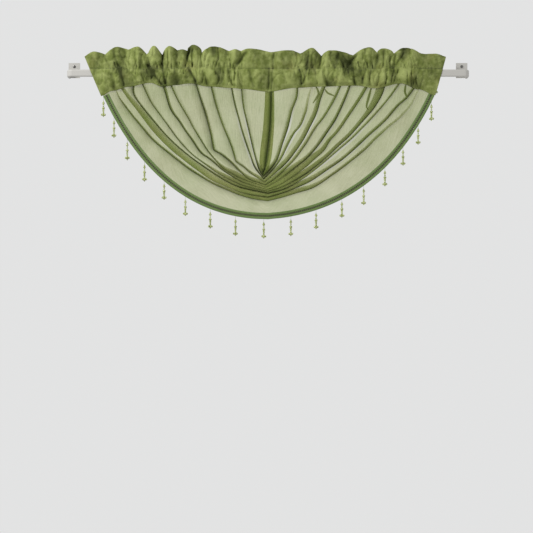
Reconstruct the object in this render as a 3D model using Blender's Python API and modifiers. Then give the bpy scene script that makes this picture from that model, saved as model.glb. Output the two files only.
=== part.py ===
"""A sheer swag valance hung from a flat curtain rod, in metres, +Z up, front towards -Y.

The origin is on the wall, midway between the two rod brackets, at the height of the rod's axis.
The valance is three sewn pieces: an opaque gathered heading that holds the rod in its pocket, one
sheer sheet that hangs from it in ten nested folds, and a braid with bead drops along the hem.
"""

import math

import bmesh
import bpy
from mathutils import Vector

MM = 0.001

# Rod, brackets and screws
ROD_SPAN = 1.332
ROD_HEIGHT = 0.024
ROD_DEPTH = 0.008
ROD_OUT = 0.042
ROD_BEND = 0.014
ROD_BEND_STEPS = 5
ROD_EDGE_STEPS = 4
PLATE_WIDTH = 0.038
PLATE_HEIGHT = 0.050
PLATE_THICK = 0.002
PLATE_RISE = 0.016
TONGUE_THICK = 0.003
TONGUE_HEIGHT = 0.014
TONGUE_LENGTH = 0.022
SEAT_GAP = 0.0003
SCREW_HEAD_RADIUS = 0.0048
SCREW_HEAD_RISE = 0.0022
SCREW_SHANK_RADIUS = 0.0020
SCREW_RISE = 0.029
SCREW_INSET = 0.019
SCREW_RIM = 0.0006
SCREW_STEPS = 14
SCREW_DOME_STEPS = 3

# Heading: one opaque strip folded over at the top, stitched above the rod
CLOTH_THICK = 0.0010
STITCH_RISE = 0.0155
STITCH_HALF_GAP = 0.00085
POCKET_HALF_GAP = 0.0052
POCKET_TOP_RISE = 0.009
POCKET_LOW_RISE = -0.013
SEAM_HALF_GAP = 0.0036
POCKET_SWELL = 0.0050
SEAM_SWELL = 0.0035
BACK_SWELL_SHARE = 0.6
RUFFLE_HALF_GAP = 0.0030
RUFFLE_TIP_HALF_GAP = 0.0013
HEADING_LINES = 16
RUFFLE_DEPTH = 0.0110
COLUMNS_A_LOBE = 5

# A row for each gather fold of the heading, left to right, in millimetres: where the fold meets
# the top edge, where it meets the seam, and the crest of the lobe on its right with that crest's
# place in the lobe as a share of its width.
HEADING_COLUMNS = ("top_x", "top_z", "seam_x", "seam_z", "crest_z", "crest_at")
HEADING_FOLDS = (
    (-607, 56, -551, -76, 70, 0.50),
    (-538, 63, -512, -59, 86, 0.55),
    (-462, 78, -460, -46, 86, 0.50),
    (-401, 63, -389, -33, 88, 0.50),
    (-350, 63, -347, -46, 86, 0.30),
    (-267, 75, -257, -35, 93, 0.35),
    (-219, 69, -200, -45, 87, 0.27),
    (-89, 69, -86, -53, 79, 0.35),
    (10, 68, 0, -62, 74, 0.70),
    (106, 66, 96, -49, 82, 0.55),
    (178, 59, 185, -45, 75, 0.25),
    (281, 60, 290, -42, 85, 0.70),
    (361, 69, 353, -51, 81, 0.30),
    (416, 66, 439, -35, 84, 0.28),
    (535, 61, 495, -54, 62, 0.50),
    (589, 55, 552, -74, 55, 0.50),
)

# Sheer sheet: nested folds, each a pleat of three layers above its crease
LAYER_GAP = 0.0022
MOST_PLEAT_SHARE = 0.50
ROUND_OUT_SHARE = 0.10
MOST_ROUND_OUT = 0.006
SEAM_TUCK = 0.008
CENTRE_PLEAT_DEPTH = 0.006
CENTRE_PLEAT_SHARE = 0.12
CENTRE_PANEL_SHARE = 0.28
STEPS_A_SIDE = 15

# A row for each fold, inner to outer, with the hem as the last row, in millimetres: where its
# crease leaves the heading on each side, how far along its level run (bow) and its fall (sink)
# the curve's handle lies as shares, its depth at the middle, its pleat's width, and how far it
# stands forward at the middle.
FOLD_COLUMNS = (
    "left_x", "left_bow", "left_sink", "right_x", "right_bow", "right_sink",
    "middle_z", "pleat", "belly",
)
FOLDS = (
    (-89, 0.55, 0.95, 99, 0.50, 0.78, -338, 12, 10),
    (-122, 0.55, 0.98, 148, 0.36, 0.72, -347, 12, 11),
    (-188, 0.45, 0.98, 185, 0.26, 0.68, -356, 14, 12),
    (-234, 0.42, 0.97, 244, 0.55, 0.80, -365, 14, 13),
    (-320, 0.50, 0.98, 271, 0.34, 0.72, -374, 16, 14),
    (-350, 0.40, 0.91, 327, 0.48, 0.84, -383, 18, 15),
    (-412, 0.38, 0.88, 389, 0.42, 0.78, -392, 18, 16),
    (-459, 0.46, 0.90, 430, 0.44, 0.82, -402, 22, 17),
    (-487, 0.48, 0.94, 482, 0.54, 0.85, -412, 22, 17),
    (-511, 0.38, 0.84, 500, 0.40, 0.82, -423, 14, 16),
    (-547, 0.35, 1.00, 549, 0.33, 0.94, -482, 0, 12),
)
CENTRE_PLEAT_LINE = (3, 0.50, 0.70, 3, 0.50, 0.70, -316, 0, 6)
HEM = len(FOLDS)
HEM_FLAT_SHARE = 0.55
HEM_SAMPLES = 2000

# Braid with bead drops
BRAID_WIDTH = 0.019
BRAID_THICK = 0.0020
BRAID_OVERHANG = 0.001
BRAID_START = 0.012
BRAID_STEPS = 44
DROP_COUNT = 17
DROP_FIRST = 0.024
DROP_PITCH = 0.0881
DROP_SIDES = 4

# Height below the hem and radius of each ring of a bead drop, in millimetres
DROP_RINGS = (
    ("in braid", -6.0, 0.8), ("thread", 10.0, 0.8), ("cone bead", 14.0, 2.6),
    ("under cone", 18.0, 0.9), ("thread end", 24.0, 0.8), ("round bead", 30.0, 3.4),
    ("under round", 36.0, 0.9), ("above flower", 42.0, 0.9), ("flower bead", 49.0, 5.0),
    ("flower foot", 53.0, 1.4), ("tip", 57.0, 0.5),
)


def rows(columns, table):
    return [dict(zip(columns, line)) for line in table]


HEADING = rows(HEADING_COLUMNS, HEADING_FOLDS)
SHEET = rows(FOLD_COLUMNS, FOLDS)
CENTRE_PLEAT = rows(FOLD_COLUMNS, [CENTRE_PLEAT_LINE])[0]


def mix(a, b, share):
    return a + (b - a) * share


def ease(share):
    return share * share * (3.0 - 2.0 * share)


def clear_scene():
    for old in list(bpy.data.objects):
        bpy.data.objects.remove(old)


def new_collection(name):
    made = bpy.data.collections.new(name)
    bpy.context.scene.collection.children.link(made)
    return made


def new_material(name, colour, roughness, metallic=0.0):
    made = bpy.data.materials.new(name)
    made.use_nodes = True
    made.diffuse_color = (*colour, 1.0)
    shader = made.node_tree.nodes["Principled BSDF"]
    shader.inputs["Base Color"].default_value = (*colour, 1.0)
    shader.inputs["Roughness"].default_value = roughness
    shader.inputs["Metallic"].default_value = metallic
    return made


def new_object(name, data, collection, material=None):
    made = bpy.data.objects.new(name, data)
    collection.objects.link(made)
    if material:
        data.materials.append(material)
    return made


def object_from_bmesh(name, shape, collection, material=None):
    bmesh.ops.recalc_face_normals(shape, faces=shape.faces)
    data = bpy.data.meshes.new(name)
    shape.to_mesh(data)
    shape.free()
    return new_object(name, data, collection, material)


def mesh_of(source, name, collection, material):
    """Makes a mesh object of a curve or of an object with modifiers, and removes the source."""
    graph = bpy.context.evaluated_depsgraph_get()
    data = bpy.data.meshes.new_from_object(source.evaluated_get(graph))
    shape = bmesh.new()
    shape.from_mesh(data)
    bmesh.ops.remove_doubles(shape, verts=shape.verts, dist=0.00001)
    bmesh.ops.recalc_face_normals(shape, faces=shape.faces)
    shape.to_mesh(data)
    shape.free()
    data.materials.clear()
    place = source.matrix_world.copy()
    bpy.data.objects.remove(source)
    made = new_object(name, data, collection, material)
    made.matrix_world = place
    return made


def hide_tool(tool):
    """Keeps a cutter or a guide out of the finished part."""
    tool.hide_render = True
    tool.display_type = "WIRE"
    return tool


def boolean(target, tool, operation):
    step = target.modifiers.new(operation.lower(), "BOOLEAN")
    step.operation = operation
    step.solver = "EXACT"
    step.object = tool


def sheet_object(name, columns, lines, place, collection, material, thick, zip_first_line=False):
    """A grid of columns by lines, moved to its place and given a thickness by Solidify."""
    shape = bmesh.new()
    bmesh.ops.create_grid(shape, x_segments=columns - 1, y_segments=lines - 1, size=1.0)
    shape.verts.ensure_lookup_table()
    first_line = []
    for vert in shape.verts:
        column = round((vert.co.x + 1.0) / 2.0 * (columns - 1))
        line = round((vert.co.y + 1.0) / 2.0 * (lines - 1))
        vert.co = place(column, line)
        if line == 0:
            first_line.append(vert)
    if zip_first_line:
        bmesh.ops.remove_doubles(shape, verts=first_line, dist=0.0001)
    made = object_from_bmesh(name, shape, collection, material)
    shell = made.modifiers.new("cloth thickness", "SOLIDIFY")
    shell.thickness = thick
    shell.offset = 0.0
    return made


# Heading

def heading_lobe(along):
    """The fold on the left of a place along the heading, and the share of the lobe passed."""
    left = min(int(along), len(HEADING) - 2)
    return HEADING[left], HEADING[left + 1], along - left


def heading_top(along):
    left, right, share = heading_lobe(along)
    crest_at = left["crest_at"]
    if share < crest_at:
        rise = math.sin(0.5 * math.pi * share / crest_at)
        height = mix(left["top_z"], left["crest_z"], rise)
    else:
        rise = math.sin(0.5 * math.pi * (1.0 - share) / (1.0 - crest_at))
        height = mix(right["top_z"], left["crest_z"], rise)
    return mix(left["top_x"], right["top_x"], share) * MM, height * MM


def heading_seam(along):
    left, right, share = heading_lobe(along)
    x = mix(left["seam_x"], right["seam_x"], share)
    z = mix(left["seam_z"], right["seam_z"], ease(share))
    return x * MM, z * MM


def seam_height(x):
    """The height of the heading's lower edge at a place along X."""
    x = x / MM
    for left, right in zip(HEADING, HEADING[1:]):
        if x <= right["seam_x"]:
            break
    share = (x - left["seam_x"]) / (right["seam_x"] - left["seam_x"])
    return mix(left["seam_z"], right["seam_z"], ease(min(max(share, 0.0), 1.0))) * MM


def heading_point(column, line):
    """A point of the folded strip: lines run from the front's lower edge over the top."""
    along = column / COLUMNS_A_LOBE
    share = along - int(along)
    swell = math.sin(math.pi * share) ** 2
    top_x, top_z = heading_top(along)
    seam_x, seam_z = heading_seam(along)
    # Each row of the section: height, distance from the middle, swell of the lobes, and sway,
    # the share of the ruffle's depth by which the whole strip swings to and fro.
    section = (
        (seam_z, SEAM_HALF_GAP, SEAM_SWELL, 0.0),
        (mix(seam_z, POCKET_LOW_RISE, 0.5), POCKET_HALF_GAP, POCKET_SWELL, 0.0),
        (POCKET_LOW_RISE, POCKET_HALF_GAP, POCKET_SWELL, 0.0),
        (POCKET_TOP_RISE, POCKET_HALF_GAP, POCKET_SWELL / 2.0, 0.0),
        (STITCH_RISE, STITCH_HALF_GAP, 0.0, 0.0),
        (mix(STITCH_RISE, top_z, 0.35), RUFFLE_HALF_GAP, 0.0, 0.45),
        (mix(STITCH_RISE, top_z, 0.80), RUFFLE_HALF_GAP, 0.0, 0.90),
        (top_z, RUFFLE_TIP_HALF_GAP, 0.0, 1.0),
    )
    last = len(section) - 1
    on_front = line <= last
    z, half, lobes, sway = section[line if on_front else 2 * last + 1 - line]
    y = half + swell * lobes * (1.0 if on_front else BACK_SWELL_SHARE)
    y = -y if on_front else y
    y -= ROD_OUT + RUFFLE_DEPTH * sway * (swell - 0.5)
    fall = (top_z - z) / (top_z - seam_z)
    return Vector((mix(top_x, seam_x, fall), y, z))


def make_heading(collection, material):
    columns = (len(HEADING) - 1) * COLUMNS_A_LOBE + 1
    return sheet_object(
        "heading", columns, HEADING_LINES, heading_point, collection, material, CLOTH_THICK
    )


# Sheer sheet

def fold_value(place, column):
    """A column of the fold table at a place between two folds; place 0 is the centre pleat."""
    inner = min(int(place), HEM - 1)
    outer_value = SHEET[inner][column]
    if inner == 0:
        inner_value = CENTRE_PLEAT[column]
    else:
        inner_value = SHEET[inner - 1][column]
    return mix(inner_value, outer_value, place - inner)


def fold_curve(place, along):
    """X and Z of a fold line: along runs from 0 at the left of the heading to 1 at the right."""
    on_left = along <= 0.5
    side = "left" if on_left else "right"
    share = 2.0 * along if on_left else 2.0 - 2.0 * along
    start_x = fold_value(place, side + "_x") * MM
    start_z = seam_height(start_x) + SEAM_TUCK
    end_z = fold_value(place, "middle_z") * MM
    handle_x = start_x * (1.0 - fold_value(place, side + "_bow"))
    handle_z = mix(start_z, end_z, fold_value(place, side + "_sink"))
    rest = 1.0 - share
    x = rest * rest * start_x + 2.0 * rest * share * handle_x
    z = rest * rest * start_z + 2.0 * rest * share * handle_z + share * share * end_z
    return x, z


def panel_height(fold, along):
    inner_x, inner_z = fold_curve(fold - 1, along)
    outer_x, outer_z = fold_curve(fold, along)
    return math.hypot(outer_x - inner_x, outer_z - inner_z)


def crease_depth(fold, along):
    """How far forward a crease stands: Y of its front layer."""
    belly = fold_value(fold, "belly") * MM
    return -ROD_OUT - LAYER_GAP - belly * math.sin(math.pi * along) ** 1.5


def pleat_top(fold, along):
    """The share of a fold's panel at which its pleat begins."""
    pleat = fold_value(fold, "pleat") * MM
    return 1.0 - min(pleat / panel_height(fold, along), MOST_PLEAT_SHARE)


def sheet_depth(fold, share, layer, along):
    """Y of the sheet in the panel above a fold, which runs forward from behind the fold above."""
    if fold == 1:
        level = -ROD_OUT - fold_value(share, "belly") * MM * math.sin(math.pi * along) ** 1.5
        setback = CENTRE_PLEAT_DEPTH * abs(math.sin(2.0 * math.pi * along))
        wave = math.cos(math.pi * min(share / CENTRE_PLEAT_SHARE, 2.0))
        level = mix(level, crease_depth(1, along), share) + setback * wave * (1.0 - share)
        return level + layer * LAYER_GAP
    start = crease_depth(fold - 1, along) + 2.0 * LAYER_GAP
    end = crease_depth(fold, along)
    free = HEM_FLAT_SHARE if fold == HEM else pleat_top(fold, along)
    level = mix(start, end, min(share / free, 1.0)) + layer * LAYER_GAP
    if layer > 0 or fold == HEM:
        return level
    round_out = min(ROUND_OUT_SHARE * panel_height(fold, along), MOST_ROUND_OUT)
    return level - round_out * math.sin(math.pi * along) * math.sin(math.pi * share)


def sheet_lines():
    """Each line of the sheet from the centre pleat to the hem: fold, share of its panel, layer.

    A share of None is the top of the fold's pleat, whose height changes along the fold."""
    lines = [(1, 0.0, 0), (1, CENTRE_PLEAT_SHARE, 0), (1, CENTRE_PANEL_SHARE, 0)]
    for fold in range(1, HEM):
        lines += [(fold, None, 0), (fold, 1.0, 0), (fold, 1.0, 1)]
        lines += [(fold, None, 1), (fold, None, 2), (fold, 1.0, 2)]
    lines += [(HEM, HEM_FLAT_SHARE / 2.0, 0), (HEM, HEM_FLAT_SHARE, 0), (HEM, 1.0, 0)]
    return lines


def sheet_point(fold, share, layer, along):
    if share is None:
        share = pleat_top(fold, along)
    x, z = fold_curve(fold - 1 + share, along)
    return Vector((x, sheet_depth(fold, share, layer, along), z))


def make_sheet(collection, material):
    lines = sheet_lines()
    steps = 2 * STEPS_A_SIDE

    def place(column, line):
        fold, share, layer = lines[line]
        return sheet_point(fold, share, layer, column / steps)

    return sheet_object(
        "swag", steps + 1, len(lines), place, collection, material, CLOTH_THICK,
        zip_first_line=True,
    )


# Braid and bead drops

def hem_frame(along):
    """A point on the hem, with the direction that leads inwards across the braid."""
    x, z = fold_curve(HEM, along)
    step = 1.0 / HEM_SAMPLES
    before = Vector(fold_curve(HEM, max(along - step, 0.0)))
    after = Vector(fold_curve(HEM, min(along + step, 1.0)))
    run = (after - before).normalized()
    y = crease_depth(HEM, along) - CLOTH_THICK / 2.0 - SEAT_GAP - BRAID_THICK / 2.0
    return Vector((x, y, z)), Vector((-run.y, 0.0, run.x))


def hem_places(first, pitch, count):
    """Places along the hem at equal steps of its real length."""
    lengths = [0.0]
    last, _ = hem_frame(0.0)
    for index in range(1, HEM_SAMPLES + 1):
        here, _ = hem_frame(index / HEM_SAMPLES)
        lengths.append(lengths[-1] + (here - last).length)
        last = here
    places = []
    for number in range(count):
        wanted = first + number * pitch
        index = next(i for i, length in enumerate(lengths) if length >= wanted)
        places.append(index / HEM_SAMPLES)
    return places


def make_braid(collection, material):
    widths = (-BRAID_OVERHANG, BRAID_WIDTH / 2.0, BRAID_WIDTH)

    def place(column, line):
        along = mix(BRAID_START, 1.0 - BRAID_START, column / BRAID_STEPS)
        point, inwards = hem_frame(along)
        return point + inwards * widths[line]

    return sheet_object(
        "braid_tape", BRAID_STEPS + 1, len(widths), place, collection, material, BRAID_THICK
    )


def add_drop(shape, top):
    """One bead drop, a turned thread with its beads, from rings joined end to end."""
    rings = []
    for _, below, radius in DROP_RINGS:
        ring = []
        for side in range(DROP_SIDES):
            turn = 2.0 * math.pi * side / DROP_SIDES
            offset = Vector((math.cos(turn), math.sin(turn), 0.0)) * radius * MM
            ring.append(shape.verts.new(top + offset - Vector((0.0, 0.0, below * MM))))
        rings.append(ring)
    for upper, lower in zip(rings, rings[1:]):
        for side in range(DROP_SIDES):
            after = (side + 1) % DROP_SIDES
            shape.faces.new((upper[side], lower[side], lower[after], upper[after]))
    shape.faces.new(rings[0])
    shape.faces.new(reversed(rings[-1]))


def make_bead_trim(collection, cutters, material):
    tape = make_braid(cutters, material)
    shape = bmesh.new()
    for along in hem_places(DROP_FIRST, DROP_PITCH, DROP_COUNT):
        point, _ = hem_frame(along)
        add_drop(shape, point)
    drops = hide_tool(object_from_bmesh("bead_drops", shape, cutters))
    trim = mesh_of(tape, "bead_trim", collection, material)
    boolean(trim, drops, "UNION")
    return trim


# Rod, brackets and screws

def rod_path():
    """Plan of the rod's middle line: a return from each wall plate and a long front run."""
    half_span = (ROD_SPAN - ROD_DEPTH) / 2.0
    back = -PLATE_THICK - SEAT_GAP
    points = [(-half_span, back)]
    for side in (-1, 1):
        centre = (side * (half_span - ROD_BEND), -ROD_OUT + ROD_BEND)
        for step in range(ROD_BEND_STEPS + 1):
            turn = 0.5 * math.pi * step / ROD_BEND_STEPS
            turn = turn if side < 0 else 0.5 * math.pi - turn
            across = side * math.cos(turn) * ROD_BEND
            points.append((centre[0] + across, centre[1] - math.sin(turn) * ROD_BEND))
    points.append((half_span, back))
    return points


def rod_profile(cutters):
    """The rod's section, a flat bar with round edges, as a closed curve."""
    radius = ROD_DEPTH / 2.0
    straight = ROD_HEIGHT / 2.0 - radius
    points = []
    for side in (1, -1):
        for step in range(ROD_EDGE_STEPS + 1):
            turn = math.pi * step / ROD_EDGE_STEPS
            up = straight + math.sin(turn) * radius
            points.append((side * math.cos(turn) * radius, side * up))
    data = bpy.data.curves.new("rod_profile", "CURVE")
    spline = data.splines.new("POLY")
    spline.points.add(len(points) - 1)
    for point, (across, up) in zip(spline.points, points):
        point.co = (across, up, 0.0, 1.0)
    spline.use_cyclic_u = True
    return hide_tool(new_object("rod_profile", data, cutters))


def box_object(name, low, high, collection, material=None):
    shape = bmesh.new()
    made = bmesh.ops.create_cube(shape, size=1.0)
    low, high = Vector(low), Vector(high)
    for vert in made["verts"]:
        vert.co = Vector(
            (mix(low[axis], high[axis], vert.co[axis] + 0.5) for axis in range(3))
        )
    return object_from_bmesh(name, shape, collection, material)


def tongue_box(side, margin):
    """Lowest and highest corners of a bracket's tongue, grown by a margin."""
    middle = side * (ROD_SPAN - ROD_DEPTH) / 2.0
    half_thick = TONGUE_THICK / 2.0 + margin
    half_height = TONGUE_HEIGHT / 2.0 + margin
    low = (middle - half_thick, -PLATE_THICK - TONGUE_LENGTH - margin, -half_height)
    high = (middle + half_thick, -PLATE_THICK / 2.0, half_height)
    return low, high


def make_rod(collection, cutters, material):
    data = bpy.data.curves.new("rod_path", "CURVE")
    data.dimensions = "3D"
    data.twist_mode = "Z_UP"
    data.bevel_mode = "OBJECT"
    data.bevel_object = rod_profile(cutters)
    data.use_fill_caps = True
    spline = data.splines.new("POLY")
    points = rod_path()
    spline.points.add(len(points) - 1)
    for point, (x, y) in zip(spline.points, points):
        point.co = (x, y, 0.0, 1.0)
    path = new_object("rod_path", data, cutters)
    bpy.context.view_layer.update()
    rod = mesh_of(path, "rod", collection, material)
    for name, side in (("left", -1), ("right", 1)):
        low, high = tongue_box(side, SEAT_GAP)
        slot = hide_tool(box_object("rod_slot_" + name, low, high, cutters))
        boolean(rod, slot, "DIFFERENCE")
    rod.data.shade_smooth()
    rod.data.set_sharp_from_angle(angle=math.radians(40.0))
    return rod


def turned(name, profile, place, collection, material=None):
    """A profile of radius and height turned round the axis that points out of the wall."""
    data = bpy.data.meshes.new(name)
    points = [(radius, 0.0, height) for radius, height in profile]
    data.from_pydata(points, [(i, i + 1) for i in range(len(points) - 1)], [])
    made = new_object(name, data, collection, material)
    turn = made.modifiers.new("turn", "SCREW")
    turn.steps = SCREW_STEPS
    turn.render_steps = SCREW_STEPS
    turn.use_merge_vertices = True
    turn.merge_threshold = 0.00001
    turn.use_smooth_shade = True
    made.location = place
    made.rotation_euler = (math.radians(90.0), 0.0, 0.0)
    return made


def screw_place(side):
    return Vector((side * (ROD_SPAN / 2.0 - SCREW_INSET), 0.0, SCREW_RISE))


def make_bracket(name, side, collection, cutters, material):
    outer = side * (ROD_SPAN / 2.0)
    inner = side * (ROD_SPAN / 2.0 - PLATE_WIDTH)
    bottom = PLATE_RISE - PLATE_HEIGHT / 2.0
    low = (min(outer, inner), -PLATE_THICK, bottom)
    high = (max(outer, inner), 0.0, bottom + PLATE_HEIGHT)
    bracket = box_object(name, low, high, collection, material)
    low, high = tongue_box(side, 0.0)
    tongue = hide_tool(box_object(name + "_tongue", low, high, cutters))
    boolean(bracket, tongue, "UNION")
    hole_radius = SCREW_SHANK_RADIUS + SEAT_GAP
    reach = 2.0 * PLATE_THICK
    drill = [(0.0, reach), (hole_radius, reach), (hole_radius, -reach), (0.0, -reach)]
    place = screw_place(side)
    hole = hide_tool(turned(name + "_hole", drill, place, cutters))
    boolean(bracket, hole, "DIFFERENCE")
    return bracket


def make_screw(name, side, collection, material):
    seat = PLATE_THICK + SEAT_GAP
    profile = [(0.0, seat + SCREW_HEAD_RISE)]
    for step in range(1, SCREW_DOME_STEPS + 1):
        turn = 0.5 * math.pi * step / SCREW_DOME_STEPS
        height = seat + SCREW_RIM + (SCREW_HEAD_RISE - SCREW_RIM) * math.cos(turn)
        profile.append((SCREW_HEAD_RADIUS * math.sin(turn), height))
    profile += [(SCREW_HEAD_RADIUS, seat), (SCREW_SHANK_RADIUS, seat)]
    profile += [(SCREW_SHANK_RADIUS, 0.0), (0.0, 0.0)]
    return turned(name, profile, screw_place(side), collection, material)


def main():
    clear_scene()
    parts = new_collection("swag_valance")
    cutters = new_collection("cutters")
    green_voile = new_material("green_voile", (0.42, 0.47, 0.22), 0.85)
    green_heading = new_material("green_heading", (0.22, 0.27, 0.08), 0.90)
    braid_green = new_material("braid_green", (0.07, 0.13, 0.04), 0.80)
    white_paint = new_material("white_paint", (0.85, 0.85, 0.83), 0.40)
    dull_steel = new_material("dull_steel", (0.35, 0.35, 0.34), 0.35, 1.0)

    make_rod(parts, cutters, white_paint)
    for name, side in (("left", -1), ("right", 1)):
        make_bracket("bracket_" + name, side, parts, cutters, white_paint)
        make_screw("screw_" + name, side, parts, dull_steel)
    make_heading(parts, green_heading)
    make_sheet(parts, green_voile)
    make_bead_trim(parts, cutters, braid_green)


main()
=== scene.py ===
# %% [markdown]
# # A sheer swag valance on a curtain rod
# The object hangs from a flat white rod: an opaque gathered heading, one sheer sheet that swoops
# down from it in nested folds, and a braid with bead drops along the hem. The rod, its brackets
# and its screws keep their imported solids. The cloth, the braid and the beads are made here.

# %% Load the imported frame
import bisect
import functools
import math
import random

import bmesh
import bpy
from mathutils import Matrix, Vector, noise
from mathutils.kdtree import KDTree


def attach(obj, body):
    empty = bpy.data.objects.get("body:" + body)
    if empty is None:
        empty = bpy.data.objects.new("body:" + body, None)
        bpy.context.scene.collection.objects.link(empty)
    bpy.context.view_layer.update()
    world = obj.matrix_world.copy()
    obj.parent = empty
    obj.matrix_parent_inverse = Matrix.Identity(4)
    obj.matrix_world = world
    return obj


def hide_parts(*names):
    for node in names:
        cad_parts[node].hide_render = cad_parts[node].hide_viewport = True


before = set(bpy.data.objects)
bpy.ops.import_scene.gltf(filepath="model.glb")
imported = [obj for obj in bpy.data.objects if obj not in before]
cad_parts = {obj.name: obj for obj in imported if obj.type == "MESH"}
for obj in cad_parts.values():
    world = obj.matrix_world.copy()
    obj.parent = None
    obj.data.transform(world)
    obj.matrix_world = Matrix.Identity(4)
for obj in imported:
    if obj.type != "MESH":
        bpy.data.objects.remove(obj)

MM = 0.001
# The cloth's wandering is drawn from a fixed start, so that every run gives the same folds
noise.seed_set(7)
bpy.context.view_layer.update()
print("packed nodes:", sorted(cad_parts))

# %% [markdown]
# ## Camera and light
# The photo looks straight at the valance, level with its lower half. A long lens from well back
# keeps the rod straight and the two sides alike. The backdrop is a plain pale world, and a soft
# lamp from the upper left gives the folds a lighter and a darker side.

# %% Camera
CAMERA_PLACE = Vector((-0.005, -3.572, -0.6386))
LENS_MM = 72.19
SENSOR_MM = 36.0
lens = bpy.data.cameras.new("camera")
lens.lens = LENS_MM
lens.sensor_width = SENSOR_MM
camera = bpy.data.objects.new("camera", lens)
camera.location = CAMERA_PLACE
camera.rotation_euler = (math.radians(90.0), 0.0, 0.0)
bpy.context.collection.objects.link(camera)
scene = bpy.context.scene
scene.camera = camera
scene.view_settings.view_transform = "Standard"
# A fold at the middle has many sheer layers behind each other
scene.cycles.transparent_max_bounces = 64

# %% World, lamps and floor
BACKDROP = (0.765, 0.768, 0.768, 1.0)
AMBIENT = 0.50
world = bpy.data.worlds.new("studio")
scene.world = world
world.use_nodes = True
world_nodes = world.node_tree.nodes
world_links = world.node_tree.links
backdrop = world_nodes["Background"]
backdrop.inputs["Color"].default_value = BACKDROP
ambient = world_nodes.new("ShaderNodeBackground")
ambient.inputs["Color"].default_value = (AMBIENT, AMBIENT, AMBIENT, 1.0)
seen = world_nodes.new("ShaderNodeLightPath")
choice = world_nodes.new("ShaderNodeMixShader")
world_links.new(seen.outputs["Is Camera Ray"], choice.inputs[0])
world_links.new(ambient.outputs[0], choice.inputs[1])
world_links.new(backdrop.outputs[0], choice.inputs[2])
world_links.new(choice.outputs[0], world_nodes["World Output"].inputs["Surface"])


def soft_lamp(name, place, aim, size, watts):
    """A square soft box at a place, turned to an aim."""
    data = bpy.data.lights.new(name, "AREA")
    data.size = size
    data.energy = watts
    lamp = bpy.data.objects.new(name, data)
    lamp.location = place
    lamp.rotation_euler = (Vector(aim) - Vector(place)).to_track_quat("-Z", "Y").to_euler()
    bpy.context.collection.objects.link(lamp)
    return lamp


soft_lamp("key", (-2.6, -1.9, 1.8), (0.0, 0.0, -0.2), 0.9, 88.0)
soft_lamp("fill", (2.4, -2.6, -0.4), (0.0, 0.0, -0.2), 1.6, 14.0)

FLOOR_DROP = 3.0
FLOOR_SIZE = 5.0
floor_shape = bmesh.new()
bmesh.ops.create_grid(floor_shape, x_segments=1, y_segments=1, size=FLOOR_SIZE)
bmesh.ops.translate(floor_shape, verts=floor_shape.verts, vec=(0.0, 0.0, -FLOOR_DROP))
floor_mesh = bpy.data.meshes.new("floor")
floor_shape.to_mesh(floor_mesh)
floor_shape.free()
floor = bpy.data.objects.new("floor", floor_mesh)
bpy.context.collection.objects.link(floor)

# %% [markdown]
# ## Writing finishes as sums
# A finish is a node tree, but it reads best as arithmetic. The small class below wraps a socket,
# so that `weave * 0.2 + 0.5` adds its Math nodes. Colours go through a Mix node instead, because
# a Math node would turn them grey.

# %% Shader helper


class Value:
    """One output socket of a finish, which can be added, multiplied and so on."""

    def __init__(self, finish, socket):
        self.finish = finish
        self.socket = socket

    def sum(self, operation, *values):
        inputs = dict(enumerate(values))
        return self.finish.node("ShaderNodeMath", {"operation": operation}, inputs)

    def __add__(self, other):
        return self.sum("ADD", self, other)

    def __radd__(self, other):
        return self.sum("ADD", other, self)

    def __sub__(self, other):
        return self.sum("SUBTRACT", self, other)

    def __rsub__(self, other):
        return self.sum("SUBTRACT", other, self)

    def __mul__(self, other):
        return self.sum("MULTIPLY", self, other)

    def __rmul__(self, other):
        return self.sum("MULTIPLY", other, self)

    def __pow__(self, other):
        return self.sum("POWER", self, other)

    def clamped(self):
        return self.finish.node("ShaderNodeClamp", {}, {0: self})

    def sine(self):
        return self.sum("SINE", self)

    def size(self):
        return self.sum("ABSOLUTE", self)


class Finish:
    """A material whose nodes are added by one method, node."""

    def __init__(self, name, roughness, metallic=0.0):
        self.material = bpy.data.materials.new(name)
        self.material.use_nodes = True
        self.tree = self.material.node_tree
        self.shader = self.tree.nodes["Principled BSDF"]
        self.set("Roughness", roughness)
        self.set("Metallic", metallic)

    def node(self, kind, settings, inputs, output=0):
        made = self.tree.nodes.new(kind)
        for name, setting in settings.items():
            setattr(made, name, setting)
        for name, value in inputs.items():
            self.feed(made.inputs[name], value)
        return Value(self, made.outputs[output])

    def feed(self, socket, value):
        if isinstance(value, Value):
            self.tree.links.new(value.socket, socket)
        else:
            socket.default_value = value

    def set(self, name, value):
        self.feed(self.shader.inputs[name], value)

    def place(self, scale, source="Object"):
        """The surface's own coordinates, scaled so that a pattern repeats at a real size."""
        which = {"Object": 3, "UV": 2}[source]
        point = self.node("ShaderNodeTexCoord", {}, {}, which)
        return self.node("ShaderNodeMapping", {}, {"Vector": point, "Scale": scale})

    def cloud(self, place, detail=2.0):
        return self.node("ShaderNodeTexNoise", {}, {"Vector": place, "Scale": 1.0, "Detail": detail})

    def mark(self, name):
        """A painted attribute of the mesh, from 0 to 1."""
        return self.node("ShaderNodeAttribute", {"attribute_name": name}, {}, 2)

    def blend(self, share, first, second):
        settings = {"data_type": "RGBA"}
        return self.node("ShaderNodeMix", settings, {0: share, 6: first, 7: second}, 2)

    def bump(self, height, distance, strength=1.0):
        inputs = {"Height": height, "Distance": distance, "Strength": strength}
        self.set("Normal", self.node("ShaderNodeBump", {}, inputs))


def colour(red, green, blue):
    """A colour as a painter's 0 to 255 values, turned into the light values shaders use."""
    values = []
    for part in (red, green, blue):
        part = part / 255.0
        values.append(part / 12.92 if part <= 0.04045 else ((part + 0.055) / 1.055) ** 2.4)
    return (*values, 1.0)


def mix(a, b, share):
    return a + (b - a) * share


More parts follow.
